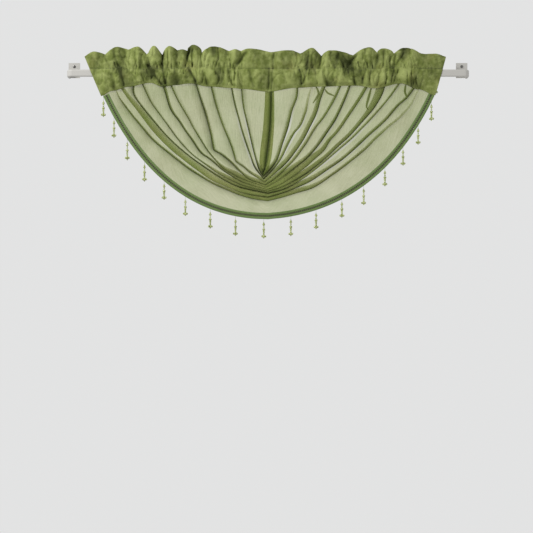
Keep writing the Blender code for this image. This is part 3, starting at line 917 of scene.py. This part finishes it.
def make_sheet():
    rows = sheet_rows()
    columns = 2 * STEPS_A_SIDE + 1
    shape = bmesh.new()
    bmesh.ops.create_grid(shape, x_segments=columns - 1, y_segments=len(rows) - 1, size=1.0)
    crease_layer = shape.verts.layers.float.new("crease")
    inner_layer = shape.verts.layers.float.new("inner")
    thin_layer = shape.verts.layers.float.new("thin")
    uv_layer = shape.loops.layers.uv.new("cloth")
    places = {}
    first_row = []
    centre_count = len(centre_rows())
    for vert in shape.verts:
        column = round((vert.co.x + 1.0) / 2.0 * (columns - 1))
        line = round((vert.co.y + 1.0) / 2.0 * (len(rows) - 1))
        row = rows[line]
        along = column / (columns - 1)
        vert.co = sheet_point(row, along)
        vert[crease_layer], vert[thin_layer] = paint(row, along, line < centre_count)
        vert[inner_layer] = row.inner
        places[column, line] = vert
        if line == 0:
            first_row.append(vert)
    metres = cloth_metres(places, columns, len(rows))
    for face in shape.faces:
        for loop in face.loops:
            loop[uv_layer].uv = metres[loop.vert]
    bmesh.ops.remove_doubles(shape, verts=first_row, dist=0.0001)
    return new_piece("swag_voile", shape, voile)


least = min(panel_height(f, c / (2 * STEPS_A_SIDE)) for f in range(2, HEM) for c in range(169))
print("narrowest panel %.1f mm" % (least / MM))
swag = make_sheet()
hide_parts("swag")
swag_area = sum(face.area for face in swag.data.polygons)
print("sheet area %.3f m2" % swag_area)

# %% [markdown]
# ### Small tucks
# Near the heading a few short tucks run off the folds. Each is a narrow strip of the same voile
# laid just in front of the sheet, so that it darkens it as a tuck does: one more layer of cloth,
# and painted shade along its middle.

# %% Tucks
# Points of each tuck in millimetres (x, z), then its width
TUCKS = (
    (((158, -43), (167, -66), (160, -82), (148, -100)), 8.0),
    (((188, -54), (198, -66), (220, -76)), 7.0),
    (((341, -48), (332, -81), (325, -110), (331, -122)), 9.0),
    (((455, -38), (452, -62), (460, -83)), 8.0),
)
TUCK_RISE = 0.0012
TUCK_STEPS = 14


def make_tucks():
    finder = KDTree(len(swag.data.vertices))
    for vert in swag.data.vertices:
        finder.insert((vert.co.x, vert.co.z, 0.0), vert.index)
    finder.balance()

    def front(x, z):
        near = finder.find_n((x, z, 0.0), 10)
        return min(swag.data.vertices[index].co.y for _, index, _ in near)

    shape = bmesh.new()
    crease_layer = shape.verts.layers.float.new("crease")
    shape.verts.layers.float.new("inner")
    for points, width in TUCKS:
        line = line_of(points)
        made = bmesh.ops.create_grid(shape, x_segments=TUCK_STEPS, y_segments=2, size=1.0)
        for vert in made["verts"]:
            share = (vert.co.x + 1.0) / 2.0
            across = vert.co.y
            here = line.at(share)
            ahead = line.at(min(share + 0.02, 1.0)) - line.at(max(share - 0.02, 0.0))
            way = Vector((-ahead.y, ahead.x)).normalized()
            taper = 0.25 + 0.75 * math.sin(math.pi * mix(0.12, 0.95, share))
            flat = here + way * across * width * MM * 0.5 * taper
            rise = TUCK_RISE * (1.0 - across * across * 0.7)
            vert.co = (flat.x, front(here.x, here.y) - rise, flat.y)
            # Painted shade along the middle of the tuck
            vert[crease_layer] = (1.0 - abs(across) * 0.7) * 0.8
    return new_piece("swag_tucks", shape, voile)


tucks = make_tucks()

# %% [markdown]
# ## The heading
# The heading is opaque, so its folds show by light and shade, and by painted shade in the troughs
# and painted highlight on the crests. The strip is a fine grid on the table's outline, and a second
# table lists the sharp creases by their two ends. Each crease is a soft trough with a ridge on each
# side. Small puckers are drawn in along the stitch line.

# %% Crease table
# Ends of each crease (x, z, x, z), then its width and depth, all in millimetres
CREASES = (
    (-515, 76, -495, 23, 7, 4), (-469, 53, -452, 23, 5, 3), (-416, 62, -419, 18, 7, 5),
    (-396, 50, -396, 16, 6, 4), (-346, 62, -350, 16, 8, 5), (-261, 74, -279, 16, 9, 6),
    (-248, 78, -251, 20, 6, 4), (-222, 78, -214, 22, 8, 6), (-195, 43, -185, 16, 8, 3),
    (-72, 69, -115, 16, 12, 6), (20, 62, 16, 16, 7, 4), (92, 72, 102, 16, 7, 3),
    (136, 68, 127, 16, 9, 5), (180, 62, 168, 16, 9, 7), (232, 66, 222, 16, 9, 4),
    (292, 62, 268, 20, 9, 6), (363, 62, 352, 16, 8, 5), (384, 72, 378, 16, 6, 4),
    (406, 56, 406, 3, 8, 6), (425, 62, 415, 16, 7, 5), (448, 66, 424, 30, 6, 4),
    (470, 64, 486, 26, 6, 2), (-430, 40, -445, 8, 5, 3), (-372, 34, -366, 8, 5, 3),
    (-520, -6, -508, -52, 12, 5), (-494, 14, -474, -44, 8, 5), (-452, 2, -429, -38, 6, 3),
    (-401, 30, -352, -36, 7, 5), (-352, 30, -338, -40, 7, 5), (-378, 12, -384, -14, 5, 3),
    (-264, 10, -238, -40, 9, 6), (-246, -20, -228, -44, 5, 4), (-214, 6, -198, -33, 8, 3),
    (-134, 10, -112, -46, 9, 6), (-106, 0, -108, -40, 6, 5), (-98, 8, -90, -44, 5, 3),
    (-64, 8, -46, -43, 7, 3), (-24, 8, -20, -50, 5, 1), (4, 14, 2, -58, 6, 4),
    (14, 14, 12, -58, 4, 3), (104, 12, 112, -38, 8, 6), (127, 16, 118, -36, 7, 5),
    (185, 10, 196, -43, 10, 6), (160, 4, 158, -36, 6, 3), (232, 6, 226, -34, 7, 4),
    (284, 12, 290, -42, 8, 5), (262, 10, 276, -24, 5, 3), (322, 12, 312, -34, 7, 5),
    (340, 8, 332, -40, 6, 4), (372, 14, 356, -42, 7, 5), (392, 16, 386, -34, 7, 6),
    (414, 8, 408, -30, 6, 5), (428, 12, 420, -28, 5, 3), (517, 6, 498, -50, 8, 3),
    (470, -4, 476, -34, 6, 3), (540, 0, 520, -46, 7, 1), (-146, 4, -150, -30, 10, 2),
    (38, 6, 62, -30, 8, 2), (46, 60, 58, 20, 9, 2), (-170, 66, -158, 20, 9, 2),
    (-140, 60, -134, 20, 8, 2), (-30, 60, -34, 20, 9, 1), (-580, 46, -552, 20, 7, 2),
    (-545, 60, -520, 22, 6, 3), (-492, 70, -470, 24, 7, 2), (-440, 72, -430, 24, 6, 2),
    (-330, 70, -322, 18, 7, 2), (-300, 64, -304, 20, 7, 2), (210, 70, 204, 20, 7, 2),
    (320, 70, 330, 18, 6, 2), (338, 60, 344, 20, 5, 2), (500, 60, 498, 22, 8, 1),
)
STITCH_RISE = 0.0155
PUCKER_COUNT = 200
# Stretches where the stitch line lies flat and shows clearly, in millimetres along X
CALM = ((-620, -500), (-108, 96), (486, 620))
CALM_EDGE = 24.0
LOBE_STEPS = 36
FRONT_LINES = 46
BACK_LINES = 24
BUCKET = 0.020


def tightness(x):
    """From 0 where the stitching lies flat to 1 where the cloth is gathered tightly."""
    calm = 0.0
    for start, end in CALM:
        calm = max(calm, ease((x / MM - start) / CALM_EDGE) * ease((end - x / MM) / CALM_EDGE))
    return 1.0 - calm


def pucker_table():
    """Short uneven creases that the stitching draws in, above and below its line."""
    dice = random.Random(11)
    table = []
    for number in range(PUCKER_COUNT):
        x = mix(-570.0, 565.0, (number + dice.random()) / PUCKER_COUNT)
        way = dice.choice((-1.0, 1.0))
        length = dice.uniform(7.0, 20.0)
        lean = dice.uniform(-6.0, 6.0)
        low = STITCH_RISE / MM + way * dice.uniform(-1.0, 3.0)
        deep = dice.uniform(0.8, 5.0) * mix(0.25, 1.0, tightness(x * MM))
        table.append((x, low, x + lean, low + way * length, dice.uniform(2.2, 4.0), deep))
    return table


def crease_buckets():
    """The creases sorted by place along X, so that each point looks only at those near it."""
    buckets = {}
    for line in list(CREASES) + pucker_table():
        x1, z1, x2, z2, width, depth = (value * MM for value in line)
        reach = 3.2 * width
        first = math.floor((min(x1, x2) - reach) / BUCKET)
        last = math.floor((max(x1, x2) + reach) / BUCKET)
        for bucket in range(first, last + 1):
            buckets.setdefault(bucket, []).append((x1, z1, x2, z2, width, depth))
    return buckets


NEAR_CREASES = crease_buckets()


def crease_field(x, z):
    """How far the cloth sinks back at a place, and how much painted shade its troughs get there."""
    sink = 0.0
    shade = 0.0
    for x1, z1, x2, z2, width, depth in NEAR_CREASES.get(math.floor(x / BUCKET), ()):
        run_x = x2 - x1
        run_z = z2 - z1
        along = ((x - x1) * run_x + (z - z1) * run_z) / (run_x * run_x + run_z * run_z)
        held = min(max(along, 0.0), 1.0)
        off = math.hypot(x - x1 - run_x * held, z - z1 - run_z * held) / width
        if off > 3.2:
            continue
        sink += depth * (1.4 * math.exp(-off * off * 2.2) - 0.45 * math.exp(-off * off * 0.55))
        # Painted shade in the crease's trough
        shade += depth / (8.0 * MM) * math.exp(-off * off * 4.0)
    return sink, shade


# %% Heading grid
POCKET_LOW = -0.013
POCKET_TOP = 0.009
# Half the height of the rod's flat face, and half its depth with a little clearance
ROD_FLAT = 0.008
ROD_CLEAR = 0.0048


def heading_lobe(along):
    left = min(int(along), len(HEADING) - 2)
    return HEADING[left], HEADING[left + 1], along - left


def heading_top(along):
    left, right, share = heading_lobe(along)
    crest_at = left["crest_at"]
    if share < crest_at:
        rise = math.sin(0.5 * math.pi * share / crest_at) ** left["peak"]
        height = mix(left["top_z"], left["crest_z"], rise)
    else:
        rise = math.sin(0.5 * math.pi * (1.0 - share) / (1.0 - crest_at)) ** left["peak"]
        height = mix(right["top_z"], left["crest_z"], rise)
    return mix(left["top_x"], right["top_x"], share) * MM, height * MM


def heading_seam(along):
    left, right, share = heading_lobe(along)
    x = mix(left["seam_x"], right["seam_x"], share) * MM
    return x, mix(left["seam_z"], right["seam_z"], ease(share)) * MM


def stitch_height(x):
    """The stitch line wanders up and down where the cloth is gathered tightly."""
    wander = noise.noise(Vector((x * 33.0, 21.5, 0.4))) + 0.5 * noise.noise(Vector((x * 90.0, 3.1, 0.4)))
    return STITCH_RISE + STITCH_WANDER * wander * tightness(x)


def rod_reach(z):
    """How far from the rod's middle plane the cloth has to stay at a height."""
    off = max(abs(z) - ROD_FLAT, 0.0)
    if off > ROD_CLEAR:
        return (ROD_CLEAR - off) * 1.5
    return math.sqrt(ROD_CLEAR * ROD_CLEAR - off * off)


def section_at(seam_z, top_z, passed, stitch):
    """Height, half gap, swell and sway of the folded strip, from its seam to its top edge."""
    section = (
        (seam_z, 3.6, 3.5, 0.0),
        (mix(seam_z, POCKET_LOW, 0.5), 6.4, 6.0, 0.0),
        (POCKET_LOW, 7.0, 6.0, 0.0),
        (0.0, 6.4, 4.0, 0.0),
        (POCKET_TOP, 4.9, 1.0, 0.0),
        (stitch, 1.4, 0.0, 0.05),
        (mix(stitch, top_z, 0.30), 3.2, 0.0, 0.45),
        (mix(stitch, top_z, 0.80), 3.0, 0.0, 0.90),
        (top_z, 1.0, 0.0, 1.0),
    )
    spot = passed * (top_z - seam_z) + seam_z
    for low, high in zip(section, section[1:]):
        if spot <= high[0] or high is section[-1]:
            break
    share = (spot - low[0]) / (high[0] - low[0])
    soft = ease(share)
    return spot, mix(low[1], high[1], soft) * MM, mix(low[2], high[2], soft) * MM, mix(low[3], high[3], soft)


RUFFLE_DEPTH = 0.0110
WARP = 0.0060
BROAD_DEPTH = 0.0090
# BROAD_SHADE scales painted shade where the broad folds sink back, and painted highlight where they stand
# forward
BROAD_SHADE = 1.5
STITCH_WANDER = 0.0100
# Wandering valleys all over the cloth: how often along X and Z, how deep, and a seed
VALLEYS = ((24.0, 8.0, 0.0050, 2.9), (44.0, 20.0, 0.0026, 7.7), (110.0, 50.0, 0.0005, 12.3))
VALLEY_WIDTH = 0.22
# VALLEY_SHADE scales painted shade in the valleys
VALLEY_SHADE = 75.0
GATHER_DEPTH = 0.0014
GATHER_TURNS = 2.0 * math.pi / 0.0125
BACK_RAISE = 0.0035
CALM_SHARE = 0.45
PRESS = 0.78
PRESS_HEIGHT = 0.0140
PRESS_WIDTH = 0.0100


def heading_point(along, passed, on_front):
    """A point of the strip, and its painted shade, which is below 0 where a crest gets painted highlight."""
    _, _, lobe_share = heading_lobe(along)
    swell = math.sin(math.pi * lobe_share) ** 2
    top_x, top_z = heading_top(along)
    seam_x, seam_z = heading_seam(along)
    x = mix(seam_x, top_x, passed)
    stitch = stitch_height(x)
    z, half, lobes, sway = section_at(seam_z, top_z, passed, stitch)
    warp = noise.noise_vector(Vector((x * 24.0, z * 24.0, 4.4))) * WARP
    sink, shade = crease_field(x + warp.x, z + warp.z)
    broad = noise.noise(Vector((x * 30.0, 1.7, z * 14.0)))
    crumple = broad * BROAD_DEPTH + noise.noise(Vector((x * 90.0, 5.1, z * 80.0))) * 0.0014
    loose = mix(CALM_SHARE, 1.0, tightness(x))
    # Painted shade in broad hollows, painted highlight on broad crests
    shade += BROAD_SHADE * broad * loose
    for scale_x, scale_z, deep, seed in VALLEYS:
        off = abs(noise.noise(Vector((x * scale_x + warp.z * 90.0, seed, z * scale_z))))
        valley = max(1.0 - off / VALLEY_WIDTH, 0.0) ** 2 * loose
        sink += valley * deep
        shade += valley * deep * VALLEY_SHADE
    stitch_off = z - stitch
    gather = math.sin(x * GATHER_TURNS + 5.0 * noise.noise(Vector((x * 30.0, 9.1, 0.0))))
    sink += GATHER_DEPTH * gather * math.exp(-abs(stitch_off) / 0.011)
    # Painted shade in the hollows of the gathers
    shade += 0.25 * max(gather, 0.0) * math.exp(-abs(stitch_off) / 0.008)
    stitch_near = math.exp(-((stitch_off / 0.0020) ** 2))
    # The stitching presses the strip flat above the rod, so it stands less far back there
    pressed = 1.0 - PRESS * math.exp(-(((z - PRESS_HEIGHT) / PRESS_WIDTH) ** 2))
    sink *= pressed
    crumple *= pressed * loose
    held = ease((z - 0.003) / 0.010)
    sheet_sway = RUFFLE_DEPTH * sway * (swell - 0.5)
    if on_front:
        y = -half - swell * lobes + sink + crumple
        if z < stitch:
            edge_hold = ease((z - seam_z) / 0.012)
            y = mix(-half - swell * lobes * 0.6, y, edge_hold)
        y = min(y - ROD_OUT - sheet_sway, -ROD_OUT - rod_reach(z))
        # Painted shade along the stitch line
        shade += stitch_near * mix(0.45, 0.15, tightness(x))
    else:
        z += BACK_RAISE * (1.0 - ease((z - seam_z) / 0.015))
        y = half + swell * lobes * 0.5 + (sink + crumple) * held
        y = max(y - ROD_OUT - sheet_sway, -ROD_OUT + rod_reach(z))
        # The back layer gets half the painted shade
        shade *= 0.5
    return Vector((x, y, z)), shade


CLOTH_THICK = 0.0008


def make_heading():
    columns = (len(HEADING) - 1) * LOBE_STEPS + 1
    lines = FRONT_LINES + BACK_LINES
    shape = bmesh.new()
    bmesh.ops.create_grid(shape, x_segments=columns - 1, y_segments=lines - 1, size=1.0)
    painted_light_layer = shape.verts.layers.float.new("painted_light")
    uv_layer = shape.loops.layers.uv.new("cloth")
    metres = {}
    for vert in shape.verts:
        column = round((vert.co.x + 1.0) / 2.0 * (columns - 1))
        line = round((vert.co.y + 1.0) / 2.0 * (lines - 1))
        on_front = line < FRONT_LINES
        if on_front:
            passed = line / (FRONT_LINES - 1)
        else:
            passed = 1.0 - (line - FRONT_LINES) / (BACK_LINES - 1)
        point, shade = heading_point(column / LOBE_STEPS, passed, on_front)
        vert.co = point
        vert[painted_light_layer] = shade
        metres[vert] = (point.x * 1.6, point.z if on_front else 0.2 - point.z)
    for face in shape.faces:
        for loop in face.loops:
            loop[uv_layer].uv = metres[loop.vert]
    bmesh.ops.recalc_face_normals(shape, faces=shape.faces)
    piece = new_piece("heading_gathers", shape, heading_cloth)
    shell = piece.modifiers.new("cloth thickness", "SOLIDIFY")
    shell.thickness = CLOTH_THICK
    shell.offset = 0.0
    return piece


heading = make_heading()
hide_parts("heading")
heading_area = sum(face.area for face in heading.data.polygons)
print("heading area %.3f m2" % heading_area)

# %% [markdown]
# ## The braid
# A woven tape is sewn over the hem: two firm green edges with a darker chain stitch between
# them. The tape is a narrow grid swept along the hem, thickened with Solidify, and the chain is
# a row of small slanted loops, each one a squashed ball, because there are hundreds of them.

# %% Hem frame
DROP_END_GAP = 0.016
HEM_SAMPLES = 1000
VOILE_THICK = 0.0010
SEAT_GAP = 0.0003
BRAID_WIDTH = 0.019
BRAID_THICK = 0.0018
BRAID_OVERHANG = 0.001
BRAID_START = 0.010


def hem_frame(along):
    """A point on the hem, with the direction that leads inwards across the braid."""
    here = line_point(HEM, along)
    step = 1.0 / HEM_SAMPLES
    before = line_point(HEM, max(along - step, 0.0))
    after = line_point(HEM, min(along + step, 1.0))
    run = (after - before).normalized()
    y = crease_depth(HEM, along) - VOILE_THICK / 2.0 - SEAT_GAP - BRAID_THICK / 2.0
    return Vector((here.x, y, here.y)), Vector((-run.y, 0.0, run.x))


LEFT_LENGTH = LINES[HEM][0].length
HEM_LENGTH = LEFT_LENGTH + LINES[HEM][1].length


def hem_place(metres):
    """The place along the hem at a distance from its left end."""
    if metres <= LEFT_LENGTH:
        return 0.5 * metres / LEFT_LENGTH
    return 1.0 - 0.5 * (HEM_LENGTH - metres) / (HEM_LENGTH - LEFT_LENGTH)


def hem_metres_at(x):
    """How far along the hem it reaches a place along X, kept clear of both ends."""
    low, high = DROP_END_GAP, HEM_LENGTH - DROP_END_GAP
    for _ in range(24):
        middle = 0.5 * (low + high)
        if line_point(HEM, hem_place(middle)).x < x:
            low = middle
        else:
            high = middle
    return middle


print("hem length %.4f m" % HEM_LENGTH)

# %% Braid tape
BRAID_STEPS = 420
# Across the tape from its outer edge: share of the width, and how far that stands forward
BRAID_SECTION = (
    (0.00, 0.0), (0.07, 0.8), (0.18, 1.0), (0.30, 0.7), (0.38, -0.2), (0.62, -0.2),
    (0.70, 0.6), (0.82, 0.9), (0.93, 0.7), (1.00, 0.0),
)
BRAID_RELIEF = 0.0007


def make_braid():
    shape = bmesh.new()
    bmesh.ops.create_grid(shape, x_segments=BRAID_STEPS, y_segments=len(BRAID_SECTION) - 1, size=1.0)
    uv_layer = shape.loops.layers.uv.new("cloth")
    metres = {}
    for vert in shape.verts:
        column = round((vert.co.x + 1.0) / 2.0 * BRAID_STEPS)
        line = round((vert.co.y + 1.0) / 2.0 * (len(BRAID_SECTION) - 1))
        metres_along = mix(BRAID_START, HEM_LENGTH - BRAID_START, column / BRAID_STEPS)
        point, inwards = hem_frame(hem_place(metres_along))
        share, relief = BRAID_SECTION[line]
        across = mix(-BRAID_OVERHANG, BRAID_WIDTH, share)
        vert.co = point + inwards * across - Vector((0.0, relief * BRAID_RELIEF, 0.0))
        metres[vert] = (metres_along, across)
    for face in shape.faces:
        for loop in face.loops:
            loop[uv_layer].uv = metres[loop.vert]
    bmesh.ops.recalc_face_normals(shape, faces=shape.faces)
    piece = new_piece("braid_tape", shape, braid_edge)
    shell = piece.modifiers.new("tape thickness", "SOLIDIFY")
    shell.thickness = BRAID_THICK
    shell.offset = 0.0
    return piece


braid = make_braid()
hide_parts("bead_trim")

# %% Chain stitch
CHAIN_PITCH = 0.0066
CHAIN_COUNT = int((HEM_LENGTH - 2.0 * BRAID_START - 0.004) / CHAIN_PITCH)


@functools.lru_cache(maxsize=None)
def plain_ball(rounds, rings):
    shape = bmesh.new()
    bmesh.ops.create_uvsphere(shape, u_segments=rounds, v_segments=rings, radius=1.0)
    data = bpy.data.meshes.new("plain ball")
    shape.to_mesh(data)
    shape.free()
    return data


def add_ball(shape, centre, radii, rounds=8, rings=6, turn=None):
    """A ball squashed to three radii, turned if needed, and moved to its centre."""
    place = Matrix.Translation(centre)
    if turn is not None:
        place = place @ turn.to_4x4()
    ball = plain_ball(rounds, rings).copy()
    ball.transform(place @ Matrix.Diagonal((*radii, 1.0)))
    shape.from_mesh(ball)
    bpy.data.meshes.remove(ball)


def make_chain():
    shape = bmesh.new()
    for link in range(CHAIN_COUNT):
        point, inwards = hem_frame(hem_place(BRAID_START + 0.002 + link * CHAIN_PITCH))
        run = math.atan2(inwards.x, inwards.z)
        for side in (-1.0, 1.0):
            lean = Matrix.Rotation(run + side * math.radians(48.0), 3, "Y")
            middle = point + inwards * (BRAID_WIDTH * 0.5 + side * 0.0016)
            middle = middle - Vector((0.0, BRAID_THICK * 0.5 + 0.0002, 0.0))
            add_ball(shape, middle, (0.0026, 0.0008, 0.0012), 6, 4, lean)
    return new_piece("braid_chain_stitch", shape, braid_core)


chain = make_chain()

# %% [markdown]
# ## Bead drops
# Seventeen threads hang from the hem. Each carries a small cone bead, a round bead and a flower
# bead, with seed beads between them. The beads are squashed balls with few faces, since a drop
# is only a few millimetres across.

# %% Beads
# Where each drop hangs, in millimetres along X, and how long it is beside the table's drop
DROPS_AT = (
    (-543, 0.98), (-508, 1.08), (-464, 1.12), (-407, 1.05), (-342, 0.97), (-272, 1.00),
    (-190, 1.02), (-107, 1.02), (-14, 1.01), (75, 1.02), (158, 0.99), (243, 0.96),
    (315, 1.01), (385, 0.97), (445, 0.96), (495, 1.00), (539, 1.02),
)
# Depth below the hem, radius across and radius upright of each bead, in millimetres
BEADS = (
    (12.0, 1.6, 1.4), (15.5, 3.2, 2.2), (19.5, 4.6, 2.9), (23.5, 2.4, 1.8), (28.0, 2.8, 2.3),
    (35.0, 5.0, 4.0), (40.8, 3.8, 2.5), (45.2, 3.4, 2.6), (49.2, 2.6, 2.2), (52.6, 3.2, 2.2),
    (57.8, 5.0, 4.6), (63.2, 2.0, 1.5),
)
PETALS = 5
PETAL_OUT = 0.0058
PETAL_DEPTH = 0.0574
PETAL_RADII = (0.0028, 0.0026, 0.0036)
THREAD_RADIUS = 0.0004


def add_thread(shape, top, length):
    turn = Matrix.Translation(top - Vector((0.0, 0.0, length / 2.0)))
    bmesh.ops.create_cone(
        shape, cap_ends=True, segments=6, radius1=THREAD_RADIUS, radius2=THREAD_RADIUS,
        depth=length, matrix=turn,
    )


def add_drop(shape, threads, top, longer, facing):
    """One drop: its thread, its beads and the petals of its flower bead."""
    last = BEADS[-1][0] * MM * longer
    add_thread(threads, top + Vector((0.0, 0.0, 0.006)), last + 0.006)
    for below, across, upright in BEADS:
        centre = top - Vector((0.0, 0.0, below * MM * longer))
        add_ball(shape, centre, (across * MM, across * MM, upright * MM), 8, 6)
    for petal in range(PETALS):
        turn = 2.0 * math.pi * petal / PETALS + facing
        out = Vector((math.cos(turn), math.sin(turn), 0.0)) * PETAL_OUT
        centre = top + out - Vector((0.0, 0.0, PETAL_DEPTH * longer))
        lean = Matrix.Rotation(turn, 3, "Z")
        add_ball(shape, centre, PETAL_RADII, 6, 5, lean)


def make_drops():
    dice = random.Random(5)
    beads = bmesh.new()
    threads = bmesh.new()
    for x, longer in DROPS_AT:
        top, _ = hem_frame(hem_place(hem_metres_at(x * MM)))
        top.x = x * MM
        add_drop(beads, threads, top, longer, dice.uniform(0.0, 1.2))
    # The last drop is caught up behind the corner of the heading, and one bead of it shows
    tucked = Vector((0.5585, -0.040, -0.062))
    add_ball(beads, tucked, (0.0034, 0.0034, 0.0030), 8, 6)
    add_ball(beads, tucked - Vector((0.001, 0.0, 0.0045)), (0.0016, 0.0016, 0.0014), 8, 6)
    add_thread(threads, tucked + Vector((0.0, 0.0, 0.004)), 0.009)
    bead_piece = new_piece("bead_drops", beads, bead_glass)
    thread_piece = new_piece("bead_threads", threads, braid_edge)
    return bead_piece, thread_piece


drops, drop_threads = make_drops()

# %% [markdown]
# ## Stitches
# A row of short stitches closes the rod pocket. Each is a small squashed ball that follows the
# front of the heading.

# %% Pocket stitches
STITCH_PITCH = 0.0042


def make_stitches():
    shape = bmesh.new()
    lobes = len(HEADING) - 1
    count = int(1.15 / STITCH_PITCH)
    for number in range(count):
        along = mix(0.05, lobes - 0.05, number / (count - 1))
        _, top_z = heading_top(along)
        _, seam_z = heading_seam(along)
        top_x, _ = heading_top(along)
        seam_x, _ = heading_seam(along)
        passed = (STITCH_RISE - seam_z) / (top_z - seam_z)
        passed = (stitch_height(mix(seam_x, top_x, passed)) - seam_z) / (top_z - seam_z)
        here, _ = heading_point(along, passed, True)
        add_ball(shape, here - Vector((0.0, 0.0006, 0.0)), (0.0014, 0.0004, 0.0004), 6, 4)
    return new_piece("pocket_stitches", shape, braid_core)


stitches = make_stitches()
